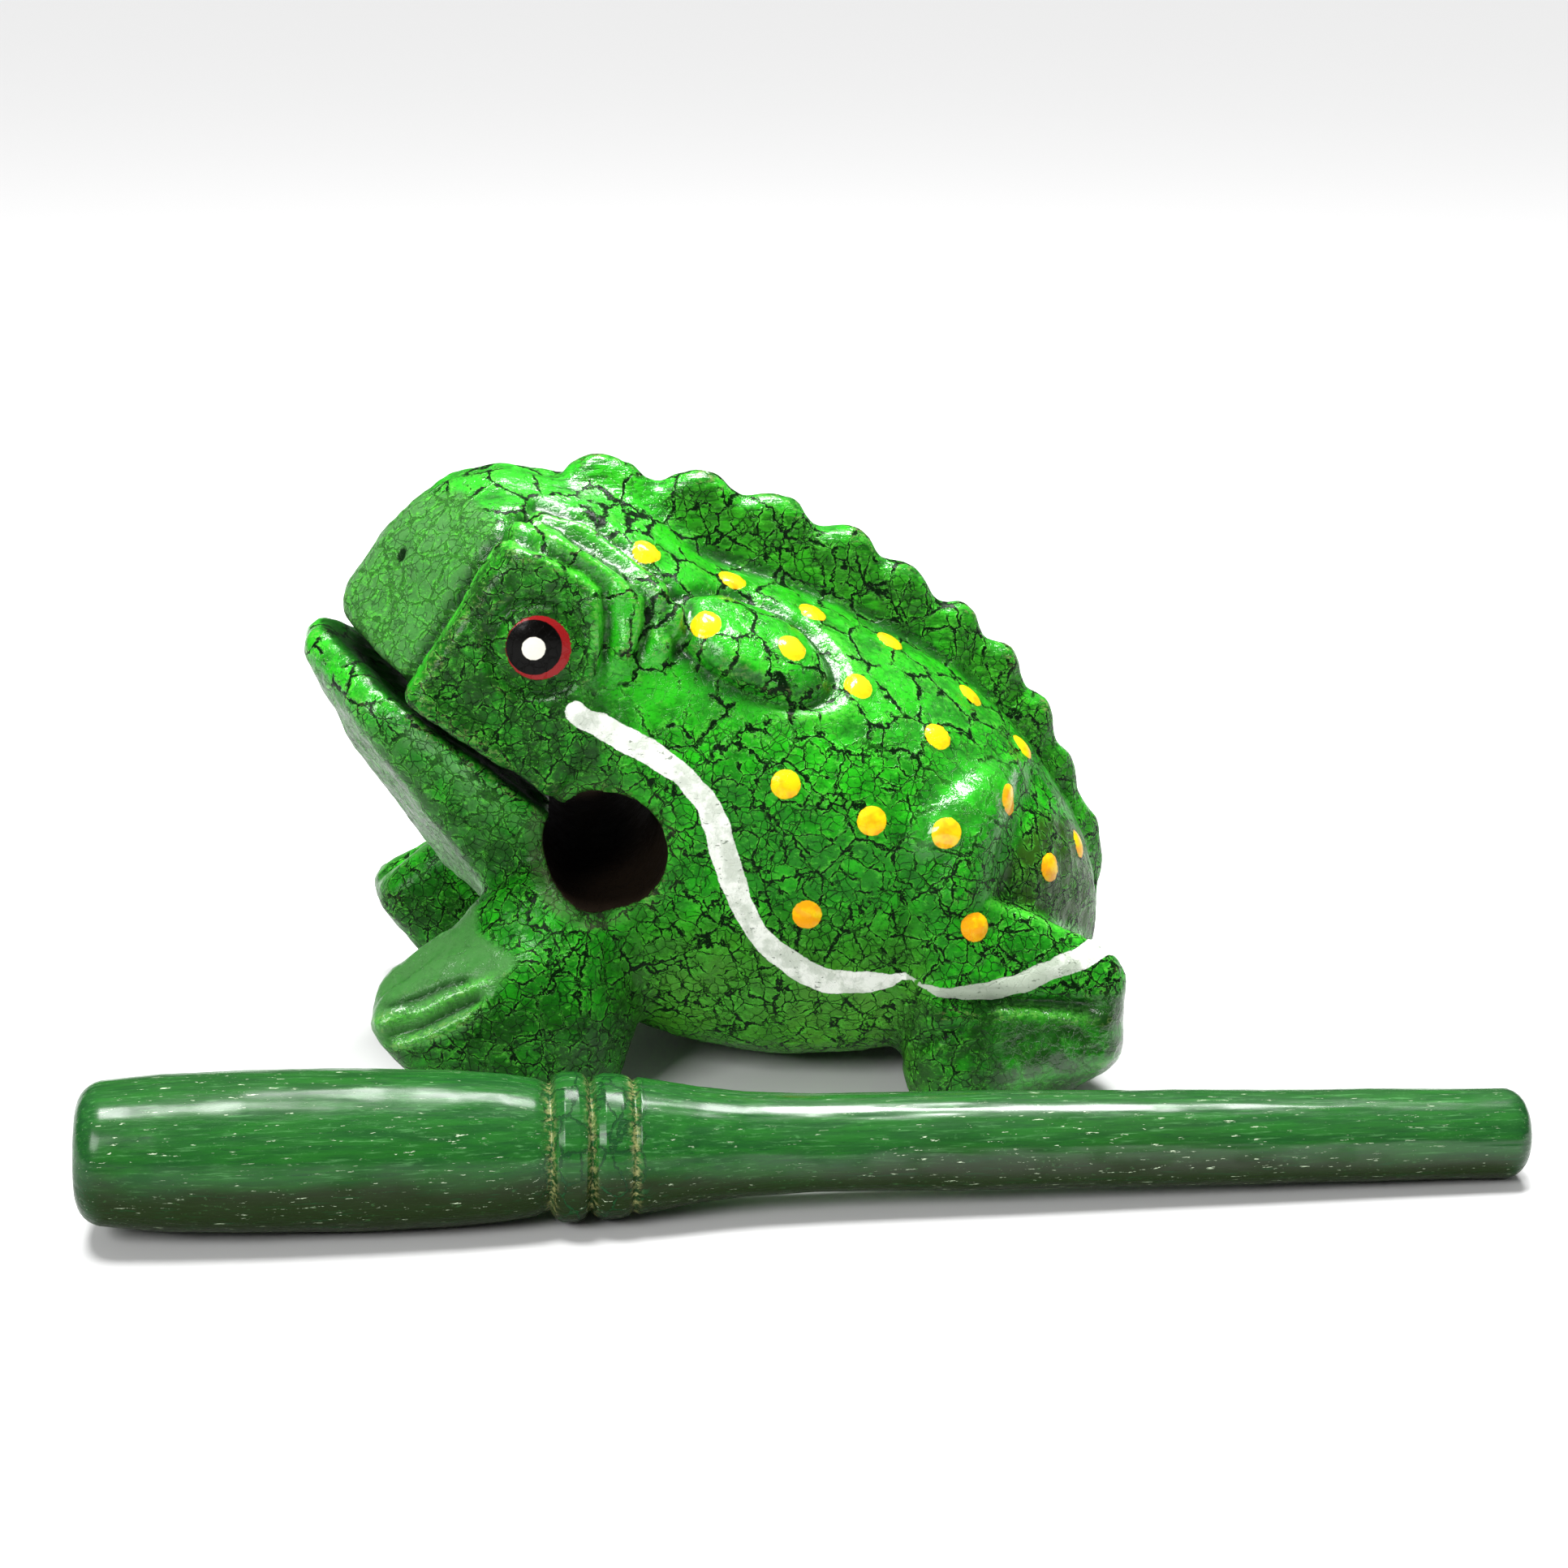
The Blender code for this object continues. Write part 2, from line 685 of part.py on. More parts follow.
def make_stick(centre_y):
    """The turned stick, lying on the fullest part of its handle and on its tip."""
    profile = stick_profile()
    mesh = bmesh.new()
    turn = np.linspace(0, 2 * math.pi, STICK_SEGMENTS, endpoint=False)
    rings = []
    for x, r in profile:
        ring = np.stack([np.full(len(turn), x), r * np.cos(turn), r * np.sin(turn)], 1)
        rings.append(ring)
    loft(mesh, rings)
    bmesh.ops.recalc_face_normals(mesh, faces=mesh.faces[:])
    data = bpy.data.meshes.new("scraper_stick")
    mesh.to_mesh(data)
    mesh.free()
    data.materials.append(painted_wood("green_stain", STICK_GREEN, 0.45))
    data.shade_smooth()
    data.set_sharp_from_angle(angle=math.radians(40))
    stick = bpy.data.objects.new("scraper_stick", data)
    bpy.context.scene.collection.objects.link(stick)

    # The lowest line of the profile touches the floor at two rings, so the axis tips.
    handle_x = 24.0
    tip_x = profile[-7][0]
    tilt = math.atan((HANDLE_RADIUS - TIP_RADIUS) / (tip_x - handle_x))
    turned = Matrix.Rotation(tilt, 4, "Y")
    lowest = min((turned @ Vector((x, 0, -r))).z for x, r in profile)
    ends = [(turned @ Vector((x, 0, 0))).x for x in (0.0, STICK_LENGTH)]
    stick.rotation_euler = (0, tilt, 0)
    stick.location = Vector((-sum(ends) / 2, centre_y, -lowest)) * MM
    return stick


def main():
    clear_scene()
    place = bpy.data.objects.new("frog_place", None)
    bpy.context.scene.collection.objects.link(place)
    place.location = Vector((FROG_FORWARD, -SPREAD_CENTRE, 0)) * MM
    make_frog(place)
    nearest_foot = -SPREAD_CENTRE - THIGH_HALF_SPREAD
    make_stick(nearest_foot - STICK_CLEARANCE - HANDLE_RADIUS)


main()
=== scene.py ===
"""Frog guiro with its scraper stick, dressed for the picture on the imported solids."""

import math

import bpy
import numpy as np
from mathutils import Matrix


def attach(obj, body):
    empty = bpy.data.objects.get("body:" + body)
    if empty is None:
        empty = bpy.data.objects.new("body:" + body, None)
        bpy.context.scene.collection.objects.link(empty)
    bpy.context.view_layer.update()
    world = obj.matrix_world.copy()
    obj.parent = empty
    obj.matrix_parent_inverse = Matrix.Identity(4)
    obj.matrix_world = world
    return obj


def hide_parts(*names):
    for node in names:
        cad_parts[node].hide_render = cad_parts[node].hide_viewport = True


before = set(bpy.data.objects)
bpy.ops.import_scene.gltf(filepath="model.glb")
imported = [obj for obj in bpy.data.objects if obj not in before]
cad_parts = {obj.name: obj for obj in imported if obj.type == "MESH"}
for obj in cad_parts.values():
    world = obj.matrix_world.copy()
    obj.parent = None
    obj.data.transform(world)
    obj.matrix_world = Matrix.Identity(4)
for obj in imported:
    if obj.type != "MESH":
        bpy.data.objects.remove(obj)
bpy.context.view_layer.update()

# The frog's skin. The frog is one block of light hardwood, shaped with knife and gouge.
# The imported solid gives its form. The ledges of the brow, the ring round the eye, the
# glands, the toes and the thick drops of enamel are cut or raised on it here, all in the
# frog's own millimetres.
FROG_PLACE = np.array([-6.2, 16.465, 0.0])
SKIN_GRAIN = 0.00062
EYE_CENTRE = np.array([-22.3, 22.6, 56.1])
EYE_AXIS = np.array([0.0, 0.99, 0.12])
EYE_RED, EYE_BLACK, EYE_DOT = 3.75, 3.22, 1.36
EYE_DOME, EYE_GROOVE, EYE_LIP = 4.2, 5.5, 6.5
BLACK_SHIFT = np.array([-0.50, 0.0, 0.08])
DOT_SHIFT = np.array([-0.55, 0.0, 0.0])
# A viewer at the frog's left, a little above it and toward the head: the middle of what
# is seen, and the directions back to the viewer, across and up.
VIEW_MIDDLE = np.array([8.5, 0.0, 32.0])
VIEW_BACK = np.array([-0.1001, -0.9526, 0.2874])
VIEW_ACROSS = np.array([0.9945, -0.1045, 0.0])
VIEW_UP = np.array([0.0300, 0.2858, 0.9578])
VIEW_DISTANCE = 420.0
# The brow's flat and its two terraces, as outlines seen from the left: across and up. Then
# the depth of the groove outside each.
BROW_STEPS = (
    ((-35.5, 30.2), (-30.2, 28.5), (-25.3, 26.1), (-23.1, 24.2), (-22.7, 19.8))
    + ((-23.2, 14.3), (-26.9, 6.7), (-30.9, -0.9), (-47.4, 10.5)),
    ((-33.6, 32.8), (-28.5, 31.0), (-24.4, 28.5), (-20.4, 25.7), (-17.7, 23.0))
    + ((-17.6, 20.4), (-19.2, 14.3), (-26.9, 6.7), (-47.4, 10.5)),
    ((-30.7, 33.9), (-24.9, 32.1), (-19.7, 28.5), (-14.8, 24.6), (-12.4, 22.1))
    + ((-12.9, 18.8), (-15.6, 13.7), (-26.9, 6.7), (-47.4, 10.5)),
)
BROW_CUTS = (1.15, 1.15, 0.95)
GLAND_CENTRE = np.array([-4.0, 16.9])
GLAND_ALONG = np.array([0.891, -0.454])
GLAND_HALF = (11.4, 5.5)
BORE_AT = np.array([-15.0, 31.8])
THROAT_AT = np.array([-15.0, 32.0])
BORE_RADIUS = 7.3
MOUTH_FRONT = np.array([-46.2, 54.9])
MOUTH_HALF_GAP = 1.3
NOSTRIL = np.array([-37.6, 5.8, 63.2])
# The line of the back under the comb, forward-back and up.
BACK_LINE = np.array(
    [(-24, 65.5), (-15, 66.2), (-4, 63.2), (9, 58.5), (20, 53.2), (30, 46.8), (38.6, 38), (44, 30), (48, 17)]
)
# Each toe groove is a line seen from the left, then its depth and its half width.
TOE_GROOVES = (
    (((-50.8, -27.4), (-46.1, -26.9), (-42.5, -25.3), (-38.8, -24.3)), 0.6, 0.7),
    (((-49.7, -32.0), (-45.1, -30.3), (-41.0, -28.0), (-37.3, -26.5)), 0.9, 0.75),
    (((18.6, -26.8), (23.6, -27.1), (28.7, -27.3), (34.7, -27.7), (40.2, -28.3)), 1.5, 1.1),
    (((16.0, -33.0), (19.6, -31.2), (22.8, -30.3)), 0.8, 0.8),
)
# The ridges beside the grooves and along the shin, also seen from the left.
RIDGES = (
    ((-50.3, -29.8), (-44.0, -27.9), (-39.5, -25.6), (-34.4, -23.7)),
    ((-48.1, -32.1), (-43.0, -31.1), (-39.0, -29.0), (-36.2, -26.5)),
    ((25.9, -14.7), (29.9, -16.4), (33.7, -17.7), (39.4, -19.9)),
    ((27.2, -28.4), (32.7, -28.7), (40.0, -29.4)),
)
# Outlines seen from the left: the snout's plane, the pale top of the foot, and the
# hollow behind the haunch. Then the haunch's ridge, and the line where it ends.
SNOUT = (
    ((-45.3, 36.1), (-40.1, 36.4), (-35.7, 32.7), (-36.3, 30.7))
    + ((-47.2, 10.9), (-57.2, 17.8), (-57.2, 26.9), (-49.1, 37.0))
)
FOOT_TOP = (
    ((-53.1, -28.2), (-49.1, -22.6), (-39.5, -14.5), (-38.2, -12.6), (-38.2, -18.4), (-33.0, -21.9))
    + ((-34.7, -24.4), (-37.0, -26.9), (-41.4, -30.5), (-47.1, -32.9), (-52.6, -32.2))
)
RECESS = (
    ((26.5, -13.7), (29.5, -8.0), (32.5, -3.4), (37.3, -5.5))
    + ((40.8, -19.6), (33.7, -16.9), (28.7, -14.7))
)
HAUNCH_RIDGE = np.array(((17.6, -7.0), (20.5, -3.6), (23.6, -1.0), (27.0, 0.8)))
HAUNCH_EDGE = np.array(((24.9, -14.5), (26.3, -10.0), (27.9, -4.4), (28.7, 0.6)))
SPOT_RADIUS = 1.75
# Each row is a drop of enamel on the left side: forward-back, out from the middle, up.
SPOTS = np.array(
    [
        (-8.9, 11.7, 64.8),
        (1.3, 8.6, 60.2),
        (10.9, 10.0, 56.2),
        (20.6, 8.3, 52.0),
        (29.9, 9.7, 45.6),
        (36.6, 10.9, 38.8),
        (43.2, 12.4, 27.1),
        (-2.8, 19.9, 57.6),
        (7.1, 20.0, 54.1),
        (15.3, 19.5, 49.4),
        (24.3, 21.2, 43.5),
        (32.9, 21.9, 35.5),
        (38.3, 21.2, 26.7),
        (6.0, 26.7, 40.2),
        (15.5, 28.1, 35.8),
        (24.4, 27.9, 33.5),
        (8.4, 28.2, 24.3),
        (27.8, 30.0, 23.1),
    ]
)
# The brushed stripe runs from the cheek down the flank, and then along the hind foot.
FLANK_STRIPE = np.array(
    [
        (-18.3, 23.6, 48.4),
        (-13.2, 23.1, 45.5),
        (-6.7, 24.9, 41.4),
        (-3.5, 25.8, 38.2),
        (-1.7, 26.5, 32.9),
        (0.1, 26.9, 27.0),
        (2.5, 27.2, 22.0),
        (6.8, 27.5, 17.9),
        (11.1, 27.8, 15.8),
        (15.0, 28.1, 15.6),
        (20.4, 29.0, 16.4),
    ]
)
FOOT_STRIPE = np.array(
    [
        (20.0, 29.0, 16.4),
        (22.9, 31.0, 15.5),
        (27.6, 31.8, 15.0),
        (33.6, 30.6, 16.0),
        (37.5, 30.1, 17.3),
        (41.9, 28.7, 18.4),
        (44.6, 25.4, 19.2),
    ]
)


def ramp(x, low, high):
    """Zero below low, one above high, and a smooth cubic step between."""
    t = np.clip((x - low) / (high - low), 0, 1)
    return t * t * (3 - 2 * t)


def bell(x, width):
    """One at zero, falling off as the Gaussian bell of that width."""
    return np.exp(-((x / width) ** 2))


def merged_copy(node, name):
    """The node's loose triangles as one closed mesh: equal corners become one point."""
    source = node.data
    points = np.empty(len(source.vertices) * 3)
    source.vertices.foreach_get("co", points)
    corners = np.empty(len(source.loops), dtype=np.int32)
    source.loops.foreach_get("vertex_index", corners)
    places, index = np.unique(points.reshape(-1, 3).round(7), axis=0, return_inverse=True)
    mesh = bpy.data.meshes.new(name)
    mesh.from_pydata(places, [], index.ravel()[corners].reshape(-1, 3))
    return mesh


def placed(name, data):
    """A new object of that name in the scene, which shows the mesh, light or camera."""
    made = bpy.data.objects.new(name, data)
    bpy.context.scene.collection.objects.link(made)
    return made


def even_skin(node, name, grain, passes):
    """A fine even skin over the solid: voxels of size grain, then passes of smoothing."""
    rough = placed(name + "_rough", merged_copy(node, name + "_rough"))
    voxels = rough.modifiers.new("voxels", "REMESH")
    voxels.mode = "VOXEL"
    voxels.voxel_size = grain
    sand = rough.modifiers.new("sand", "SMOOTH")
    sand.factor = 0.5
    sand.iterations = passes
    bpy.context.view_layer.update()
    evaluated = rough.evaluated_get(bpy.context.evaluated_depsgraph_get())
    mesh = bpy.data.meshes.new_from_object(evaluated)
    bpy.data.objects.remove(rough)
    mesh.name = name
    return mesh


def read_numbers(items, key, width, kind=float):
    """One value of every item, such as the place of each vertex, in rows of that width."""
    values = np.empty(len(items) * width, dtype=kind)
    items.foreach_get(key, values)
    return values.reshape(-1, width)


def summed(index, values, count):
    """The values added up at each index, for one column or for several."""
    if values.ndim == 1:
        return np.bincount(index, values, count)
    return np.stack([np.bincount(index, column, count) for column in values.T], 1)


def outward(points, quads):
    """Outward unit normals: each quad's diagonals crossed, added up at its corners."""
    a, b, c, d = (points[quads[:, k]] for k in range(4))
    total = summed(quads.ravel(), np.repeat(np.cross(c - a, d - b), 4, axis=0), len(points))
    return total / np.linalg.norm(total, axis=1, keepdims=True)


def planed(points, quads, pairs, rounds, turn):
    """Each point moves onto the planes of its neighbours. A neighbour counts as the bell of
    how far its normal turns away, so flats and slow curves grow smooth and edges stay."""
    here = np.concatenate([pairs[:, 0], pairs[:, 1]])
    there = np.concatenate([pairs[:, 1], pairs[:, 0]])
    count = len(points)
    for _ in range(rounds):
        normals = outward(points, quads)
        for _ in range(3):
            share = bell(1 - (normals[here] * normals[there]).sum(1), turn)
            normals = normals + summed(here, share[:, None] * normals[there], count)
            normals /= np.linalg.norm(normals, axis=1, keepdims=True)
        lift = ((points[there] - points[here]) * normals[there]).sum(1) * share
        move = summed(here, lift[:, None] * normals[there], count)
        points = points + 0.6 * move / (summed(here, share, count) + 0.5)[:, None]
    return points


def spread_out(values, pairs, rounds):
    """The values blurred over the skin: each round takes half from the neighbours' mean."""
    here = np.concatenate([pairs[:, 0], pairs[:, 1]])
    there = np.concatenate([pairs[:, 1], pairs[:, 0]])
    count = np.maximum(np.bincount(here, minlength=len(values)), 1)
    count = count if values.ndim == 1 else count[:, None]
    for _ in range(rounds):
        values = 0.5 * values + 0.5 * summed(here, values[there], len(values)) / count
    return values


def waves(points, size, number, seed):
    """A sum of sine waves in seeded directions, about one high, with crests size apart."""
    draw = np.random.default_rng(seed)
    aim = draw.normal(size=(number, 3))
    aim /= np.linalg.norm(aim, axis=1, keepdims=True)
    pitch = 2 * math.pi / (size * draw.uniform(0.7, 1.5, number))
    phase = draw.uniform(0, 2 * math.pi, number)
    total = sum(np.sin(points @ a * p + f) for a, p, f in zip(aim, pitch, phase))
    return total / math.sqrt(number)


def brush_path(points, rows):
    """A brushed line through the rows: a smooth cubic through them, laid on the skin."""
    spacing = np.linalg.norm(np.diff(rows, axis=0), axis=1)
    run = np.concatenate([[0.0], np.cumsum(spacing)])
    along = np.arange(0.0, run[-1], 0.5)
    slopes = np.gradient(rows, run, axis=0)
    k = np.clip(np.searchsorted(run, along) - 1, 0, len(run) - 2)
    width = (run[k + 1] - run[k])[:, None]
    t = (along[:, None] - run[k][:, None]) / width
    line = rows[k] * (1 + 2 * t) * (1 - t) ** 2 + rows[k + 1] * t * t * (3 - 2 * t)
    line += width * (slopes[k] * t * (1 - t) ** 2 - slopes[k + 1] * t * t * (1 - t))
    near = np.array([points[np.argmin(((points - p) ** 2).sum(1))] for p in line])
    for _ in range(4):
        near[1:-1] = (near[:-2] + 2 * near[1:-1] + near[2:]) / 4
    return near


def distance_to_path(points, path):
    """Each point's distance to the nearest stretch of the path, and where on it that is."""
    best = np.full(len(points), 1e3)
    where = np.zeros(len(points))
    for number, (start, end) in enumerate(zip(path[:-1], path[1:])):
        step = end - start
        length = max((step**2).sum(), 1e-9)
        t = np.clip(((points - start) @ step) / length, 0, 1)
        gap = np.linalg.norm(points - start - t[:, None] * step, axis=1)
        nearer = gap < best
        best[nearer] = gap[nearer]
        where[nearer] = ((number + t) / (len(path) - 1))[nearer]
    return best, where


def inside_outline(flat, outline):
    """Distance to the outline's edge in the plane, positive inside and negative outside."""
    corners = np.array(outline + outline[:1])
    gap, _ = distance_to_path(flat, corners)
    inside = np.zeros(len(flat), dtype=bool)
    for (x0, z0), (x1, z1) in zip(corners[:-1], corners[1:]):
        crossing = (z0 > flat[:, 1]) != (z1 > flat[:, 1])
        with np.errstate(divide="ignore", invalid="ignore"):
            at = x0 + (flat[:, 1] - z0) / (z1 - z0) * (x1 - x0)
        inside ^= crossing & (flat[:, 0] < at)
    return np.where(inside, gap, -gap)


def add_values(mesh, name, values):
    """One value for every point, kept in the mesh under that name for its material."""
    mesh.attributes.new(name, "FLOAT", "POINT").data.foreach_set("value", values)


skin = even_skin(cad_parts["frog_body"], "frog_skin", SKIN_GRAIN, 3)
quads = read_numbers(skin.loops, "vertex_index", 1, np.int32).reshape(-1, 4)
pairs = read_numbers(skin.edges, "vertices", 2, np.int32)
points = read_numbers(skin.vertices, "co", 3) * 1000 - FROG_PLACE
points = planed(points, quads, pairs, 14, 0.05)
normals = outward(points, quads)


def around_bore():
    """Each point's offset from the bore's axis, its distance from it, and how squarely its
    normal points at the axis."""
    offset = points[:, [0, 2]] - BORE_AT
    distance = np.linalg.norm(offset, axis=1)
    return offset, distance, -(normals[:, [0, 2]] * offset).sum(1) / np.maximum(distance, 0.1)


# the drill left a crisp rim, so the rounded corner goes back to the bore's own radius
from_bore, bore_radius, toward_axis = around_bore()
drilled = ramp(toward_axis, 0.15, 0.5) * (bore_radius < BORE_RADIUS + 1.2)
pull = 1 + drilled * ((BORE_RADIUS - 0.12) / np.maximum(bore_radius, 0.1) - 1)
points[:, [0, 2]] = BORE_AT + from_bore * pull[:, None]
normals = outward(points, quads)
# both halves are carved and painted alike, so each place is worked out on one of them
mirror = np.where(points[:, 1:2] < 0, [1.0, -1.0, 1.0], [1.0, 1.0, 1.0])
half = points * mirror
facing = normals * mirror
flat = half[:, [0, 2]]


def seen_from_left(places):
    """Where each place lies for the viewer: across and up from the middle of the view, in
    millimetres, divided by its share of the viewing distance."""
    away = places * [1, -1, 1] - VIEW_MIDDLE
    depth = 1 - away @ VIEW_BACK / VIEW_DISTANCE
    return np.stack([away @ VIEW_ACROSS / depth, away @ VIEW_UP / depth], 1)


def eye_disc(shift, radius):
    """How far a point lies outside a painted disc of the eye, along the eye's flat."""
    away = half - EYE_CENTRE - shift
    depth = away @ EYE_AXIS
    reach = np.linalg.norm(away - depth[:, None] * EYE_AXIS, axis=1)
    return np.where((abs(depth) < 4) & (facing[:, 1] > 0.2), reach, 20.0) - radius


seen = seen_from_left(half)
toward = facing @ (VIEW_BACK * [1, -1, 1])
in_view = ramp(toward, 0.0, 0.25) * (half[:, 1] > 5)
eye_red = eye_disc(0, EYE_RED)
eye_black = eye_disc(BLACK_SHIFT, EYE_BLACK)
eye_dot = eye_disc(DOT_SHIFT, EYE_DOT)
from_eye = eye_red + EYE_RED

left = points[points[:, 1] < 0] * [1, -1, 1]
seats = np.array([left[np.argmin(((left - p) ** 2).sum(1))] for p in SPOTS])
spot_gap = np.min([np.linalg.norm(half - seat, axis=1) for seat in seats], axis=0) - SPOT_RADIUS
flank_gap, flank_at = distance_to_path(half, brush_path(left, FLANK_STRIPE))
foot_gap, foot_at = distance_to_path(half, brush_path(left, FOOT_STRIPE))
flank_wide = 1.1 + 0.35 * np.sin(flank_at * 9.0 + 0.6) ** 2 + 0.2 * ramp(flank_at, 0.1, 0.2)
flank_wide -= 0.9 * ramp(flank_at, 0.93, 1.0)
foot_wide = 0.25 + 0.95 * ramp(foot_at, 0.0, 0.4) + 0.3 * ramp(foot_at, 0.6, 1.0)
stripe_gap = np.minimum(flank_gap - flank_wide, foot_gap - foot_wide)
stripe_gap += 0.09 * waves(half, 2.8, 12, 3)

gland = seen - GLAND_CENTRE
gland_along = gland @ GLAND_ALONG
gland_up = gland @ np.array([-GLAND_ALONG[1], GLAND_ALONG[0]])
gland_ring = np.hypot(gland_along / GLAND_HALF[0], gland_up / GLAND_HALF[1])

from_bore, bore_radius, toward_axis = around_bore()
in_bore = ramp(toward_axis, 0.5, 0.8) * (bore_radius < BORE_RADIUS + 0.9)
rim_angle = np.arctan2(from_bore[:, 1], from_bore[:, 0])
rim_side = bell(np.angle(np.exp(1j * (rim_angle + 2.6))), 1.15)
worn_rim = ramp(BORE_RADIUS + 2.3 - bore_radius, 0.0, 0.9) * (1 - in_bore) * (facing[:, 1] > 0.1)
worn_rim *= 0.12 + 0.88 * rim_side

mouth_along = (MOUTH_FRONT - THROAT_AT) / np.linalg.norm(MOUTH_FRONT - THROAT_AT)
mouth_across = np.array([mouth_along[1], -mouth_along[0]])
from_mouth = (flat - THROAT_AT) @ mouth_across
turned_in = np.abs(normals[:, [0, 2]] @ mouth_across)
in_mouth = (np.abs(from_mouth) < MOUTH_HALF_GAP + 0.5) & (turned_in > 0.75)
in_mouth = in_mouth & (bore_radius > BORE_RADIUS) & (points[:, 0] < BORE_AT[0])

comb_rise = half[:, 2] - np.interp(half[:, 0], BACK_LINE[:, 0], BACK_LINE[:, 1])
comb = ramp(comb_rise, 0.2, 1.2) * (half[:, 1] < 4.4) * (half[:, 0] > -20.5)
brow_gap = [inside_outline(seen, outline) for outline in BROW_STEPS]
on_head = in_view * (half[:, 1] > 7) * (half[:, 0] < 0) * ramp(from_mouth, -0.5, 0.8)
# the brow's rear edge fades out below the eye, and the terraces start behind the snout
past_snout = ramp(seen[:, 0], -36, -33)
fading = 1 - past_snout * ramp(-seen[:, 1], -17, -12)
behind_snout = past_snout * ramp(seen[:, 1], 13, 18)
nostril_gap = np.linalg.norm((half - NOSTRIL) * [1.0, 1.0, 0.6], axis=1)

# The relief, in millimetres along the normal.
relief = 0.22 * (1 - np.clip((eye_black + EYE_BLACK) / EYE_DOME, 0, 1) ** 2)
relief -= 0.75 * bell(from_eye - EYE_GROOVE, 0.6)
relief += 0.18 * bell(from_eye - EYE_LIP, 0.5)
groove = np.zeros(len(points))
ridge_line = np.zeros(len(points))
for number, gap in enumerate(brow_gap):
    reach = on_head * (fading if number == 0 else behind_snout * (brow_gap[number - 1] < 0.2))
    relief += reach * (1.0 * ramp(gap, -0.4, 0.9) * ramp(3.2 - gap, 0, 2.2))
    relief -= BROW_CUTS[number] * reach * bell(gap + 0.85, 0.6)
    groove = np.maximum(groove, reach * bell(gap + 0.95, 0.6))
    ridge_line = np.maximum(ridge_line, reach * bell(gap - 0.35, 0.8) * ramp(seen[:, 1], 14, 20))
lower_gland = in_view * ramp(1.5 - gland_up, 0.0, 3.0)
for at, depth, reach in ((1.02, 0.8, in_view), (0.80, 0.5, lower_gland), (0.60, 0.35, lower_gland)):
    line = bell((gland_ring - at) * GLAND_HALF[1], 0.55) * reach
    relief -= depth * line
    groove = np.maximum(groove, 0.8 * line)
relief += 0.55 * ramp(1.02 - gland_ring, 0.0, 0.25) * in_view
gland_lip = bell((gland_ring - 1.22) * GLAND_HALF[1], 0.7) * in_view * ramp(gland_along, 3, 9)
relief += 0.3 * gland_lip
ridge_line = np.maximum(ridge_line, gland_lip)
on_legs = in_view * (half[:, 1] > 15) * (half[:, 2] < 34)
for chain, depth, wide in TOE_GROOVES:
    gap, where = distance_to_path(seen, np.array(chain))
    fine = on_legs * ramp(where, -0.02, 0.12) * ramp(1.02 - where, 0.0, 0.12)
    relief -= depth * fine * bell(gap, wide)
    groove = np.maximum(groove, fine * bell(gap, 0.75 * wide))
for chain in RIDGES:
    gap, where = distance_to_path(seen, np.array(chain))
    relief += 0.4 * on_legs * bell(gap, 0.8)
    ridge_line = np.maximum(ridge_line, on_legs * bell(gap, 0.7) * ramp(1.0 - where, 0.0, 0.2))

# the haunch swells out and ends in a crease, with a hollow behind it
past = seen[:, 0] - np.interp(seen[:, 1], HAUNCH_EDGE[:, 1], HAUNCH_EDGE[:, 0])
at_haunch = in_view * (half[:, 1] > 13) * ramp(seen[:, 1], -16.5, -14.0) * ramp(4.0 - seen[:, 1], 0, 6)
haunch_form = 0.9 * bell(past + 3.2, 3.0) - 0.9 * bell(past - 2.4, 2.2) - 0.3 * bell(past - 0.4, 0.6)
relief += at_haunch * haunch_form
on_ridge, _ = distance_to_path(seen, HAUNCH_RIDGE)
on_ridge = in_view * bell(on_ridge, 2.0)
relief += 0.8 * on_ridge
front_crease = in_view * bell(seen[:, 0] - 15.0, 0.9) * ramp(seen[:, 1], -26, -23)
front_crease *= ramp(-9 - seen[:, 1], 0, 4)
relief -= 0.45 * front_crease
relief -= 0.5 * bell(nostril_gap, 0.8)
rim_cut = rim_side * (1 - in_bore) * (facing[:, 1] > 0.1)
relief -= 1.2 * rim_cut * ramp(BORE_RADIUS + 2.4 - bore_radius, 0, 2.6)
relief -= 0.5 * bell(comb_rise - 0.4, 0.6) * (half[:, 1] > 2.6) * (half[:, 1] < 6) * (half[:, 0] > -18)
paint_free = ramp(np.minimum(np.minimum(spot_gap, stripe_gap), from_eye - 6), 0, 0.6)
relief += paint_free * (1 - in_bore) * (0.12 * waves(points, 7.0, 24, 5) + 0.06 * waves(points, 2.2, 24, 7))
relief += 0.5 * np.sqrt(np.clip(1 - (1 + spot_gap / SPOT_RADIUS) ** 2, 0, 1)) * (spot_gap < 0)
relief += 0.2 * ramp(-stripe_gap, -0.1, 0.6)
points += normals * relief[:, None]
points[:, 2] = np.maximum(points[:, 2], 0.0)
skin.vertices.foreach_set("co", ((points + FROG_PLACE) / 1000).ravel())
skin.update()

# How far each point stands out from the skin around it, near and wide.
normals = outward(points, quads)
near_rise = ((points - spread_out(points, pairs, 3)) * normals).sum(1)
wide_rise = ((points - spread_out(points, pairs, 60)) * normals).sum(1)
near_rise = spread_out(near_rise, pairs, 2)
wide_rise = spread_out(wide_rise, pairs, 4)

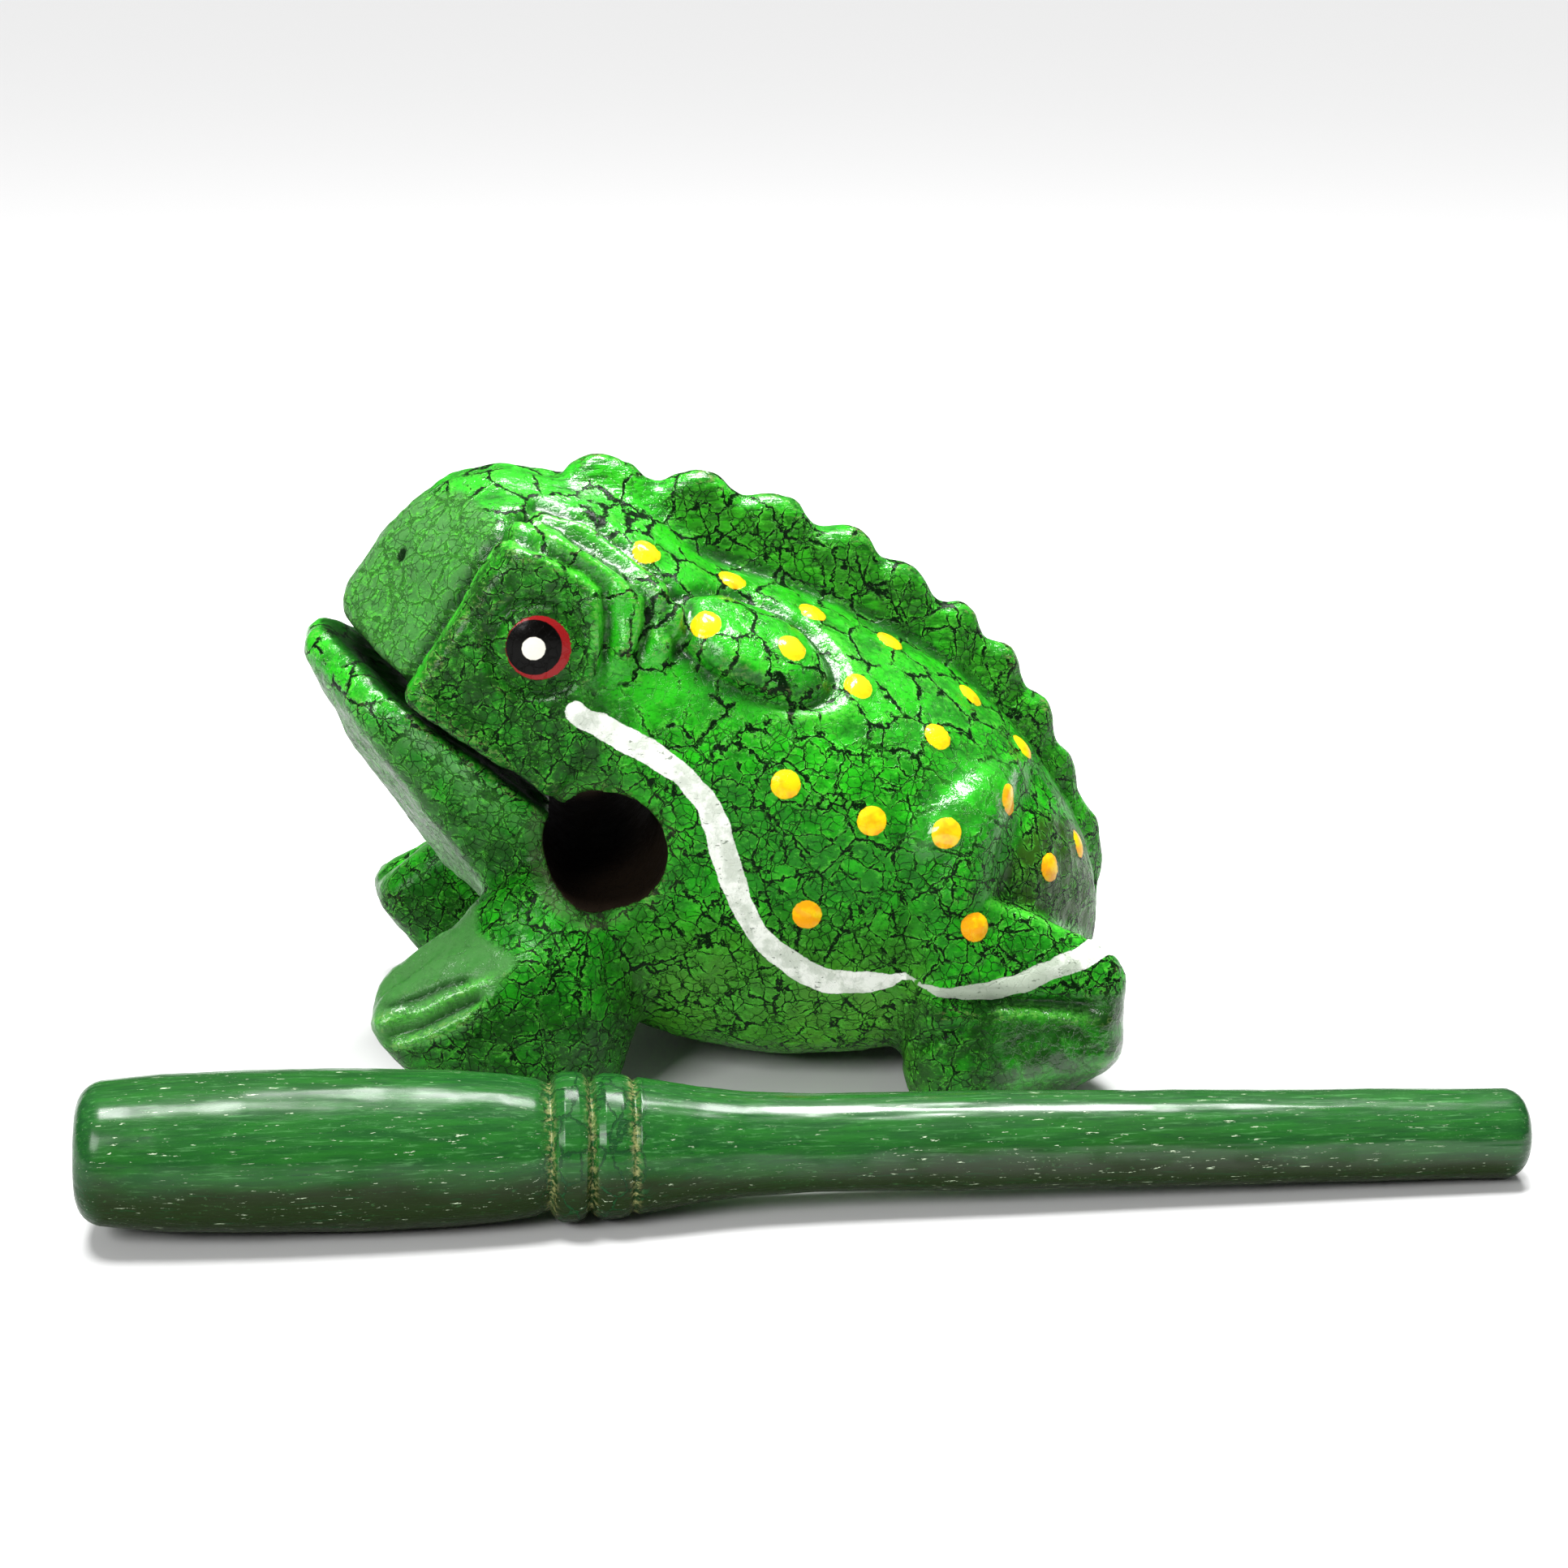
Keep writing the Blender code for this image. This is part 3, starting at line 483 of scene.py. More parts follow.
# The zones of the finish, and of the painted shade and painted highlights, each from nought to one.
facing = normals * mirror
upward = spread_out(facing[:, 2], pairs, 3)
snout = ramp(inside_outline(seen, SNOUT), -0.3, 0.3) * (half[:, 0] < -24) * (half[:, 2] > 44)
snout *= ramp(from_mouth, 0.2, 1.0)
cheek = ramp(brow_gap[0], 0.7, 1.3) * on_head
foot_top = ramp(inside_outline(seen, FOOT_TOP), -0.4, 0.4) * in_view * (half[:, 0] < -14)
jaw_low = (from_mouth < -2.0) & (facing[:, 2] < -0.1) & (half[:, 0] < -22) & (half[:, 2] > 22)
hind_foot = ramp(half[:, 0], 18, 21) * ramp(14.5 - half[:, 2], 0, 1.5) * ramp(stripe_gap, 0, 0.3)
arm = ramp(-half[:, 0], 8, 13) * ramp(19 - half[:, 2], 0, 7) * (1 - foot_top)
recess = ramp(inside_outline(seen, RECESS), -0.8, 0.8) * in_view * (half[:, 0] > 24)
belly = ramp(27 - half[:, 2], 0, 12) * ramp(half[:, 0], -16, -8) * ramp(24 - half[:, 0], 0, 4)
jaw = ramp(-from_mouth, 4.5, 8.0) * ramp(-half[:, 0], 19, 25) * ramp(half[:, 2], 24, 30)
low_cheek = bell(np.linalg.norm(seen - [-27, 4], axis=1), 9.0) * (from_mouth > 0)
# painted shade: the cheek, the low cheek, the jaw's side, the arm and the hind foot are marked to be
# coloured darker
painted_shade = cheek + hind_foot + 0.9 * arm + 1.3 * low_cheek + 0.8 * jaw
# painted light: the comb's top facets, the haunch's top and the faces turned up are counted with the back,
# to be coloured brighter
comb_top = comb * ramp(upward, 0.30, 0.65)
haunch_top = np.clip(in_view * bell(np.linalg.norm(seen - [22.0, -2.5], axis=1), 5.0) + on_ridge, 0, 1)
dull = np.clip(0.8 * snout + 0.75 * cheek + recess + foot_top + 0.6 * arm, 0, 1)
lip = bell(from_mouth + 2.6, 1.6) * ramp(-half[:, 0], 24, 30)
polish = ramp(half[:, 2] + 16 * facing[:, 2], 42, 66) * (1 - dull) * (1 - comb) + comb_top
polish += 1.3 * haunch_top + 0.7 * lip + 0.8 * hind_foot * ramp(half[:, 0], 28, 34) + ridge_line
back_and_lit_tops = ramp(half[:, 2] + 10 * facing[:, 2], 42, 58) * (1 - comb) * (1 - dull)
back_and_lit_tops += 0.8 * haunch_top + 0.9 * comb_top
smooth = foot_top + 0.75 * hind_foot * ramp(half[:, 0], 24, 34) + 0.6 * haunch_top

for name, values in (
    ("spot_gap", spot_gap),
    ("stripe_gap", stripe_gap),
    ("stripe_thin_and_shaded", np.where(foot_gap < flank_gap, 1 - ramp(foot_at, 0.5, 0.9), 0.0)),
    ("eye_red", eye_red),
    ("eye_black", eye_black),
    ("eye_dot", eye_dot),
    ("in_bore", in_bore),
    ("in_mouth", spread_out(in_mouth.astype(float), pairs, 1)),
    ("worn_rim", worn_rim),
    ("nostril_gap", nostril_gap),
    ("comb", comb),
    ("pale", spread_out(np.clip(snout + foot_top + 0.6 * jaw_low, 0, 1), pairs, 1)),
    ("olive", spread_out(np.clip(0.8 * belly + 0.25 * (comb - comb_top), 0, 1), pairs, 6)),
    ("painted_shade", spread_out(np.clip(painted_shade, 0, 1), pairs, 2)),
    ("recess", recess),
    ("polish", spread_out(np.clip(polish, 0, 1), pairs, 3)),
    ("back_and_lit_tops", spread_out(np.clip(back_and_lit_tops, 0, 1), pairs, 4)),
    ("smooth", spread_out(np.clip(smooth, 0, 1), pairs, 2)),
    ("groove", groove),
    ("ridge_line", ridge_line),
    ("ridge", np.clip(near_rise / 0.10, -1, 1)),
    ("hollow", np.clip(-wide_rise / 0.9, -1, 1)),
):
    add_values(skin, name, values)

frog = placed("frog_skin", skin)
skin.shade_smooth()


# The finish on the frog: green crackle lacquer over a darker coat. It shrank as it dried,
# into plates with dark cracks between them, widest on the back and long on the comb. The
# stripe, the eyes and the drops are enamel, brushed on last.
def add_node(tree, kind, feeds=None, **settings):
    """One shader node. The settings are its own options, and each feed is an input's value
    or the socket that drives it."""
    made = tree.nodes.new("ShaderNode" + kind)
    for key, value in settings.items():
        setattr(made, key, value)
    for key, value in (feeds or {}).items():
        if isinstance(value, bpy.types.NodeSocket):
            tree.links.new(value, made.inputs[key])
        else:
            made.inputs[key].default_value = value
    return made


def calc(tree, operation, a, b=0.0):
    """A sum, product or other simple calculation of two numbers."""
    return add_node(tree, "Math", {0: a, 1: b}, operation=operation).outputs[0]


def times(tree, a, b):
    """The product of two numbers."""
    return calc(tree, "MULTIPLY", a, b)


def plus(tree, total, part, share):
    """The total with a share of the part added."""
    return calc(tree, "ADD", total, times(tree, part, share))


def rise(tree, value, low, high, start=0.0, end=1.0):
    """A smooth step of the value from start to end as it goes from low to high."""
    feeds = {"Value": value, "From Min": low, "From Max": high, "To Min": start, "To Max": end}
    return add_node(tree, "MapRange", feeds, interpolation_type="SMOOTHSTEP").outputs[0]


def tint(tree, share, under, over):
    """The colour under, covered by the colour over as far as share says."""
    mixer = add_node(tree, "Mix", {0: share, 6: under, 7: over}, data_type="RGBA")
    return mixer.outputs[2]


def cloud(tree, place, size, detail=2.0, roughness=0.5):
    """Soft noise between nought and one, its lumps about size millimetres across."""
    feeds = {"Vector": place, "Scale": 1 / size, "Detail": detail, "Roughness": roughness}
    return add_node(tree, "TexNoise", feeds)


def stretched(tree, place, scale):
    """The place with each axis scaled, which draws a pattern out along the small ones."""
    return add_node(tree, "VectorMath", {0: place, 1: scale}, operation="MULTIPLY").outputs[0]


def in_millimetres(tree):
    """Each place in the scene's own frame, in millimetres."""
    coordinates = add_node(tree, "TexCoord").outputs["Object"]
    feeds = {0: coordinates, "Scale": 1000.0}
    return add_node(tree, "VectorMath", feeds, operation="SCALE").outputs[0]


def value_of(tree, name):
    """What add_values kept in the mesh under that name."""
    return add_node(tree, "Attribute", attribute_name=name).outputs["Fac"]


def make_crackle_group():
    """Cracks between drying plates. The plates are the cells around scattered points. A
    crack is where the border between two is nearer than Width, as far as Alive says, and
    the rim is the strip of plate beside it."""
    group = bpy.data.node_groups.new("crackle", "ShaderNodeTree")
    for name, kind in (("Place", "Vector"), ("Cell", "Float"), ("Width", "Float"), ("Alive", "Float")):
        group.interface.new_socket(name, in_out="INPUT", socket_type="NodeSocket" + kind)
    for name in ("Crack", "Rim", "Tone"):
        group.interface.new_socket(name, in_out="OUTPUT", socket_type="NodeSocketFloat")
    given = group.nodes.new("NodeGroupInput").outputs
    feeds = {"Vector": given["Place"], "Scale": calc(group, "DIVIDE", 1.0, given["Cell"])}
    border = add_node(group, "TexVoronoi", feeds, feature="DISTANCE_TO_EDGE").outputs["Distance"]
    cell = add_node(group, "TexVoronoi", feeds).outputs["Color"]
    width = calc(group, "MAXIMUM", times(group, given["Width"], given["Alive"]), 0.001)
    gap = calc(group, "DIVIDE", times(group, border, given["Cell"]), width)
    crack = times(group, rise(group, gap, 0.45, 1.0, 1, 0), given["Alive"])
    rim = times(group, rise(group, gap, 1.0, 3.4, 1, 0), given["Alive"])
    ends = group.nodes.new("NodeGroupOutput").inputs
    group.links.new(crack, ends["Crack"])
    group.links.new(rim, ends["Rim"])
    group.links.new(add_node(group, "SeparateColor", {"Color": cell}).outputs[0], ends["Tone"])
    return group


crackle_group = make_crackle_group()


def crackle(tree, place, cell, width, alive):
    """The crackle group with its own values, as its three outputs."""
    made = tree.nodes.new("ShaderNodeGroup")
    made.node_tree = crackle_group
    for key, value in (("Place", place), ("Cell", cell), ("Width", width), ("Alive", alive)):
        if isinstance(value, bpy.types.NodeSocket):
            tree.links.new(value, made.inputs[key])
        else:
            made.inputs[key].default_value = value
    return made.outputs


def wandering(tree, place, drift, amount):
    """The place moved by noise, which makes the borders of the plates run crooked."""
    moved = add_node(tree, "VectorMath", {0: drift, "Scale": amount}, operation="SCALE").outputs[0]
    return add_node(tree, "VectorMath", {0: place, 1: moved}, operation="ADD").outputs[0]


BRIGHT = (0.016, 0.400, 0.006, 1)
MIDDLE = (0.009, 0.172, 0.006, 1)
DEEP = (0.0015, 0.030, 0.002, 1)
OLIVE = (0.070, 0.240, 0.016, 1)
MOTTLE_AND_GLINT = (0.085, 0.520, 0.035, 1)
PALE_MATTE_AND_SHEEN = (0.058, 0.185, 0.048, 1)
SHADED = (0.007, 0.045, 0.004, 1)
RECESS_SHADE = (0.022, 0.062, 0.006, 1)
CRACK_AND_SLIT_SHADE = (0.0008, 0.0100, 0.0010, 1)
BARE_WOOD = (0.17, 0.22, 0.07, 1)
RIM_WOOD = (0.085, 0.120, 0.055, 1)
BORE_WOOD_AND_SHADE = (0.010, 0.006, 0.003, 1)
STRIPE_SPECK = (0.08, 0.11, 0.07, 1)
YELLOW = (0.90, 0.58, 0.004, 1)
ORANGE = (0.85, 0.30, 0.004, 1)
STRIPE = (0.84, 0.86, 0.80, 1)
STRIPE_THIN_AND_SHADED = (0.30, 0.37, 0.27, 1)
EYE_BLACK_COLOUR = (0.0010, 0.0008, 0.0006, 1)
EYE_RED_COLOUR = (0.25, 0.008, 0.009, 1)
EYE_WHITE = (0.80, 0.77, 0.68, 1)

lacquer = bpy.data.materials.new("crackle_lacquer")
lacquer.use_nodes = True
tree = lacquer.node_tree
place = in_millimetres(tree)
on_comb = value_of(tree, "comb")
is_olive = value_of(tree, "olive")
is_pale = value_of(tree, "pale")
on_back_and_lit_tops = value_of(tree, "back_and_lit_tops")
hollow = value_of(tree, "hollow")
ridge = value_of(tree, "ridge")
painted_shade_on = value_of(tree, "painted_shade")
polish = value_of(tree, "polish")
is_smooth = value_of(tree, "smooth")
groove = value_of(tree, "groove")
ridge_line = value_of(tree, "ridge_line")

drift = cloud(tree, place, 2.2, 4.0, 0.70).outputs["Color"]
drift = add_node(tree, "VectorMath", {0: drift, 1: (0.5, 0.5, 0.5)}, operation="SUBTRACT").outputs[0]
lump = cloud(tree, place, 2.6, 4.0, 0.62).outputs["Fac"]
broad = cloud(tree, place, 12.0, 2.0).outputs["Fac"]
fleck = cloud(tree, stretched(tree, place, (0.8, 1.0, 1.4)), 0.62, 4.0, 0.68).outputs["Fac"]
line = cloud(tree, stretched(tree, place, (0.22, 1.0, 1.6)), 1.1, 2.0, 0.6).outputs["Fac"]
patch = cloud(tree, place, 3.4, 3.0, 0.6).outputs["Fac"]
swell = rise(tree, cloud(tree, place, 1.1, 1.0).outputs["Fac"], 0.30, 0.70, 0.45, 1.6)
rough_skin = calc(tree, "SUBTRACT", 1.0, is_smooth)

upright = stretched(tree, place, (1.0, 1.0, 0.55))
comb_place = add_node(tree, "Mix", {0: on_comb, 4: place, 5: upright}, data_type="VECTOR").outputs[1]
plate_alive = times(tree, rise(tree, patch, 0.36, 0.48), rise(tree, painted_shade_on, 0.2, 0.8, 1.0, 0.5))
cell_alive = times(tree, rise(tree, lump, 0.36, 0.48), rise(tree, on_back_and_lit_tops, 0.2, 0.8, 1.0, 0.25))
crumb_alive = rise(tree, patch, 0.50, 0.60, 1.0, 0.0)
plate_gap = times(tree, swell, rise(tree, on_back_and_lit_tops, 0.0, 0.8, 0.17, 0.26))
plates = crackle(tree, wandering(tree, place, drift, 2.6), 5.8, plate_gap, plate_alive)
cells = crackle(tree, wandering(tree, comb_place, drift, 1.7), 2.7, times(tree, swell, 0.10), cell_alive)
crumbs = crackle(tree, wandering(tree, place, drift, 1.0), 1.25, 0.06, crumb_alive)
crumbly = calc(tree, "MAXIMUM", plates["Rim"], rise(tree, on_back_and_lit_tops, 0.3, 0.7, 1.0, 0.15))
cracked = calc(tree, "MAXIMUM", plates["Crack"], cells["Crack"])
cracked = calc(tree, "MAXIMUM", cracked, times(tree, times(tree, crumbs["Crack"], 0.8), crumbly))
cracked = times(tree, cracked, rise(tree, is_smooth, 0.0, 1.0, 1.0, 0.12))

# brighter on the back and on upward faces: partly the back's brighter lacquer, partly painted light from
# above
liveliness = calc(tree, "ADD", rise(tree, broad, 0.35, 0.65, -0.15, 0.25), times(tree, on_back_and_lit_tops, 0.62))
tone = times(tree, cells["Tone"], 0.30)
tone = calc(tree, "ADD", tone, rise(tree, lump, 0.35, 0.68, -0.25, 0.35))
# painted highlight: the ledges of the brow, the gland's lip and the ridges of the legs are made lighter
tone = plus(tree, tone, ridge_line, 0.8)
plate_tone = times(tree, calc(tree, "SUBTRACT", plates["Tone"], 0.62), 0.55)
tone = plus(tree, tone, plate_tone, on_back_and_lit_tops)
brightness = calc(tree, "ADD", liveliness, tone)
colour = tint(tree, rise(tree, brightness, 0.0, 1.0), MIDDLE, BRIGHT)
colour = tint(tree, times(tree, is_olive, rise(tree, broad, 0.3, 0.6, 0.45, 0.9)), colour, OLIVE)
# paler on the snout's planes, the top of the front foot and the jaw's underside: partly duller lacquer,
# partly a painted sheen of reflected light
colour = tint(tree, times(tree, is_pale, rise(tree, lump, 0.35, 0.6, 0.75, 0.95)), colour, PALE_MATTE_AND_SHEEN)
# painted shade: these sides are tinted toward the shaded green
colour = tint(tree, times(tree, painted_shade_on, rise(tree, lump, 0.40, 0.66, 0.94, 0.55)), colour, SHADED)
# pale flecks: partly flecks in the lacquer, partly painted glints of the light
pale_fleck_and_glint = times(tree, rise(tree, fleck, 0.56, 0.70, 0.0, 0.50), rise(tree, is_smooth, 0, 1, 1, 0.3))
dark_fleck = rise(tree, fleck, 0.45, 0.32, 0.0, 0.65)
dark_fleck = times(tree, dark_fleck, rise(tree, calc(tree, "MAXIMUM", is_smooth, is_pale), 0, 1, 1, 0.35))
colour = tint(tree, pale_fleck_and_glint, colour, MOTTLE_AND_GLINT)
colour = tint(tree, dark_fleck, colour, DEEP)
blotch = times(tree, rise(tree, lump, 0.42, 0.28, 0.0, 0.45), rise(tree, is_pale, 0, 1, 1, 0.2))
colour = tint(tree, blotch, colour, DEEP)
# painted shade in the hollow behind the haunch
colour = tint(tree, times(tree, value_of(tree, "recess"), 0.9), colour, RECESS_SHADE)
striped = times(tree, on_comb, rise(tree, line, 0.48, 0.36, 0.0, 0.6))
colour = tint(tree, striped, colour, DEEP)
# painted shade: the wide hollows of the skin are tinted darker
colour = tint(tree, rise(tree, hollow, 0.15, 0.9, 0.0, 0.8), colour, DEEP)
# painted shade: the carved grooves of the brow, the gland and the toes are tinted darker
colour = tint(tree, times(tree, groove, 0.85), colour, DEEP)
# painted highlight: pale flecks along the same ridges
colour = tint(tree, times(tree, ridge_line, rise(tree, fleck, 0.42, 0.55, 0.1, 0.6)), colour, MOTTLE_AND_GLINT)
# the rims of the plates go paler: partly the curled lacquer edges, partly painted glints
rims = calc(tree, "MAXIMUM", plates["Rim"], cells["Rim"])
rim_fleck_and_glint = times(tree, rims, rise(tree, fleck, 0.4, 0.6, 0.1, 0.5))
colour = tint(tree, times(tree, rim_fleck_and_glint, rough_skin), colour, MOTTLE_AND_GLINT)
faint = rise(tree, is_pale, 0.0, 1.0, 1.0, 0.6)
colour = tint(tree, times(tree, cracked, faint), colour, CRACK_AND_SLIT_SHADE)
bare = times(tree, rise(tree, ridge, 0.45, 0.95), rise(tree, fleck, 0.5, 0.6))
bare = times(tree, bare, rise(tree, on_comb, 0.0, 1.0, 0.35, 0.8))
colour = tint(tree, bare, colour, BARE_WOOD)
rim_worn = times(tree, value_of(tree, "worn_rim"), rise(tree, lump, 0.40, 0.62, 0.3, 0.9))
colour = tint(tree, rim_worn, colour, RIM_WOOD)

edge_shake = times(tree, calc(tree, "SUBTRACT", fleck, 0.5), 0.35)


def painted(gap_name, shake=1.0):
    """The cover of a painted shape: full inside its edge, with the edge a little uneven."""
    shaken = calc(tree, "ADD", value_of(tree, gap_name), times(tree, edge_shake, shake))
    return rise(tree, shaken, -0.06, 0.06, 1.0, 0.0)


stripe_on = painted("stripe_gap")
spot_on = painted("spot_gap", 0.7)
# the stripe greys where it is thinly brushed, and over the front half of the foot's stripe: partly thin
# paint, partly painted shade
thin_and_shaded = calc(tree, "ADD", rise(tree, lump, 0.58, 0.40, 0.0, 0.5), value_of(tree, "stripe_thin_and_shaded"))
stripe_colour = tint(tree, calc(tree, "MINIMUM", thin_and_shaded, 0.8), STRIPE, STRIPE_THIN_AND_SHADED)
speck = cloud(tree, stretched(tree, place, (0.6, 1.0, 1.0)), 0.55, 2.0, 0.7).outputs["Fac"]
stripe_colour = tint(tree, rise(tree, speck, 0.39, 0.28, 0.0, 0.75), stripe_colour, STRIPE_SPECK)
colour = tint(tree, stripe_on, colour, stripe_colour)
upward = add_node(tree, "SeparateXYZ", {0: place}).outputs[2]
# the drops go orange where the enamel is thin, and more so lower on the body as painted shade
orange = cloud(tree, place, 1.6, 2.0).outputs["Fac"]
orange = calc(tree, "ADD", orange, rise(tree, upward, 50.0, 20.0, 0.0, 0.2))
spot_colour = tint(tree, rise(tree, orange, 0.50, 0.75, 0.0, 0.85), YELLOW, ORANGE)
colour = tint(tree, spot_on, colour, spot_colour)
red_on, black_on, dot_on = painted("eye_red", 1.2), painted("eye_black", 0.5), painted("eye_dot", 0.3)
colour = tint(tree, red_on, colour, EYE_RED_COLOUR)
colour = tint(tree, black_on, colour, EYE_BLACK_COLOUR)
colour = tint(tree, dot_on, colour, EYE_WHITE)
colour = tint(tree, rise(tree, value_of(tree, "nostril_gap"), 0.7, 1.0, 0.97, 0.0), colour, CRACK_AND_SLIT_SHADE)
# the mouth's slit: dark paint, deepened with painted shade
in_slit = value_of(tree, "in_mouth")
colour = tint(tree, times(tree, in_slit, 0.9), colour, CRACK_AND_SLIT_SHADE)
# inside the bore: bare wood, coloured near black as painted shade
in_hole = value_of(tree, "in_bore")
colour = tint(tree, in_hole, colour, BORE_WOOD_AND_SHADE)

covered = calc(tree, "MAXIMUM", calc(tree, "MAXIMUM", spot_on, red_on), times(tree, stripe_on, 0.75))
open_lacquer = calc(tree, "SUBTRACT", 1.0, covered)
height = times(tree, cracked, -0.14)
height = plus(tree, height, plates["Rim"], 0.05)
height = plus(tree, height, cells["Rim"], 0.03)
height = plus(tree, height, lump, 0.20)
height = plus(tree, height, times(tree, fleck, rough_skin), 0.055)
height = plus(tree, height, times(tree, line, on_comb), 0.20)
height = times(tree, height, calc(tree, "MAXIMUM", open_lacquer, 0.12))
height = plus(tree, height, stripe_on, 0.06)
height = plus(tree, height, spot_on, 0.10)
bump = add_node(tree, "Bump", {"Strength": 1.0, "Distance": 0.001, "Height": height})

gloss = rise(tree, lump, 0.35, 0.65, 0.30, 0.42)
gloss = plus(tree, gloss, in_slit, 0.5)
gloss = plus(tree, gloss, in_hole, 0.6)
bare_of_coat = calc(tree, "MAXIMUM", calc(tree, "MAXIMUM", cracked, in_hole), in_slit)
sheen = rise(tree, polish, 0.0, 1.0, 0.14, 1.0)
sheen = calc(tree, "MAXIMUM", sheen, times(tree, covered, 0.25))
sheen = times(tree, sheen, calc(tree, "SUBTRACT", 1.0, times(tree, bare_of_coat, 0.9)))
sheen = times(tree, sheen, rise(tree, black_on, 0.0, 1.0, 1.0, 0.3))
shader = tree.nodes["Principled BSDF"]
shader.inputs["Specular IOR Level"].default_value = 0.06
shader.inputs["Coat Roughness"].default_value = 0.10
tree.links.new(colour, shader.inputs["Base Color"])
tree.links.new(gloss, shader.inputs["Roughness"])
tree.links.new(sheen, shader.inputs["Coat Weight"])
tree.links.new(bump.outputs[0], shader.inputs["Normal"])
tree.links.new(bump.outputs[0], shader.inputs["Coat Normal"])
skin.materials.append(lacquer)
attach(frog, "root")
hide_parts("frog_body")

# The scraper stick, turned from one piece of hardwood on a lathe and stained green. Long
# pores run down it, the stain is scratched pale by use, and paint sits in the bead grooves.
STICK_LENGTH = 161.0
HANDLE_RADIUS = 8.9
TIP_RADIUS = 5.15
STICK_TILT = math.radians(1.596)
STICK_PLACE = np.array([-80.47, -39.935, 9.732])
# Each row is a distance from the handle's end, and how much thinner than the handle.
STICK_ROWS = np.array(
    [
        (3.2, 0.9),
        (9.0, 0.35),
        (18.0, 0.0),
        (30.0, 0.0),
        (40.0, 0.3),
        (46.0, 0.8),
        (49.5, 1.35),
        (51.0, 2.0),
        (51.6, 1.0),
        (52.4, 0.65),
        (54.0, 0.65),
        (54.8, 1.0),
        (55.4, 2.0),
        (56.0, 1.2),
        (56.9, 0.85),
        (58.8, 0.95),
        (59.6, 1.2),
        (60.1, 1.7),
        (60.8, 1.35),
        (63.0, 1.7),
        (67.5, 2.5),
        (72.5, 3.1),
        (80.0, 3.4),
        (100.0, 3.35),
        (130.0, 3.55),
        (154.6, 3.75),
    ]
)
END_ROUND, TIP_ROUND = 3.2, 2.4
BEADS = (50.8, 60.6)
BEAD_GROOVES = (51.0, 55.4, 60.1)
STEP, BEAD_STEP = 0.5, 0.12


def turned_outline():
    """Distance along and radius, from the middle of one end to the middle of the other. The
    ends are quarter circles, and the rest follows the rows, in finer steps over the beads."""
    arc = np.linspace(0, math.pi / 2, 9)
    start = HANDLE_RADIUS - STICK_ROWS[0, 1]
    head_x = END_ROUND * (1 - np.cos(arc))
    head_r = start - END_ROUND * (1 - np.sin(arc))
    body = np.concatenate(
        [
            np.arange(END_ROUND + 0.4, BEADS[0] - 0.5, STEP),
            np.arange(BEADS[0] - 0.5, BEADS[1] + 1.0, BEAD_STEP),
            np.arange(BEADS[1] + 1.0, STICK_LENGTH - TIP_ROUND - 0.4, STEP),
        ]
    )
    body_r = HANDLE_RADIUS - np.interp(body, STICK_ROWS[:, 0], STICK_ROWS[:, 1])
    tip_x = STICK_LENGTH - TIP_ROUND + TIP_ROUND * np.sin(arc)
    tip_r = TIP_RADIUS - TIP_ROUND * (1 - np.cos(arc))
    flat_end = np.linspace(0.02, 0.9, 6)
    along = np.concatenate([0 * flat_end, head_x, body, tip_x, 0 * flat_end + STICK_LENGTH])
    radius = np.concatenate([flat_end * head_r[0], head_r, body_r, tip_r, (flat_end * tip_r[-1])[::-1]])
    return along, radius


def turned_skin(along, radius, around):
    """The outline turned about the stick's axis. Seeded ripples that are long down the
    stick and short around it cut its pores, and a slow wave keeps it from being perfect."""
    turn = np.linspace(0, 2 * math.pi, around, endpoint=False)
    s, a = np.meshgrid(along, turn, indexing="ij")
    r = np.repeat(radius[:, None], around, axis=1)
    draw = np.random.default_rng(11)
    pores = np.zeros_like(r)
    for _ in range(48):
        lobes = draw.integers(9, 44)
        pores += np.sin(lobes * a + draw.uniform(-0.35, 0.35) * s + draw.uniform(0, 6.28))
    slow = np.zeros_like(r)
    for _ in range(10):
        lobes = draw.integers(0, 4)
        slow += np.sin(lobes * a + draw.uniform(0.05, 0.22) * s + draw.uniform(0, 6.28))
    full = ramp(r, 3.0, 4.5)
    r = r - full * (0.03 * np.abs(pores / 5.0) + 0.05 * np.abs(slow / 2.2))
    x = s * math.cos(STICK_TILT) + r * np.sin(a) * math.sin(STICK_TILT)
    z = -s * math.sin(STICK_TILT) + r * np.sin(a) * math.cos(STICK_TILT)
    rings = np.stack([x, r * np.cos(a), z], -1) + STICK_PLACE
    axis = STICK_LENGTH * np.array([math.cos(STICK_TILT), 0, -math.sin(STICK_TILT)])
    ends = np.array([0 * axis, axis])
    places = np.concatenate([rings.reshape(-1, 3), ends + STICK_PLACE])
    row, column = np.meshgrid(np.arange(len(along) - 1), np.arange(around), indexing="ij")
    after = (column + 1) % around
    here, ahead = row * around, (row + 1) * around
    walls = np.stack([here + column, here + after, ahead + after, ahead + column], -1)
    first = np.arange(around)
    last = first + (len(along) - 1) * around
    head = np.stack([np.full(around, len(places) - 2), (first + 1) % around, first], 1)
    tail = np.stack([np.full(around, len(places) - 1), last, (first + 1) % around + last[0]], 1)
    faces = walls.reshape(-1, 4).tolist() + head.tolist() + tail.tolist()
    return places / 1000, faces


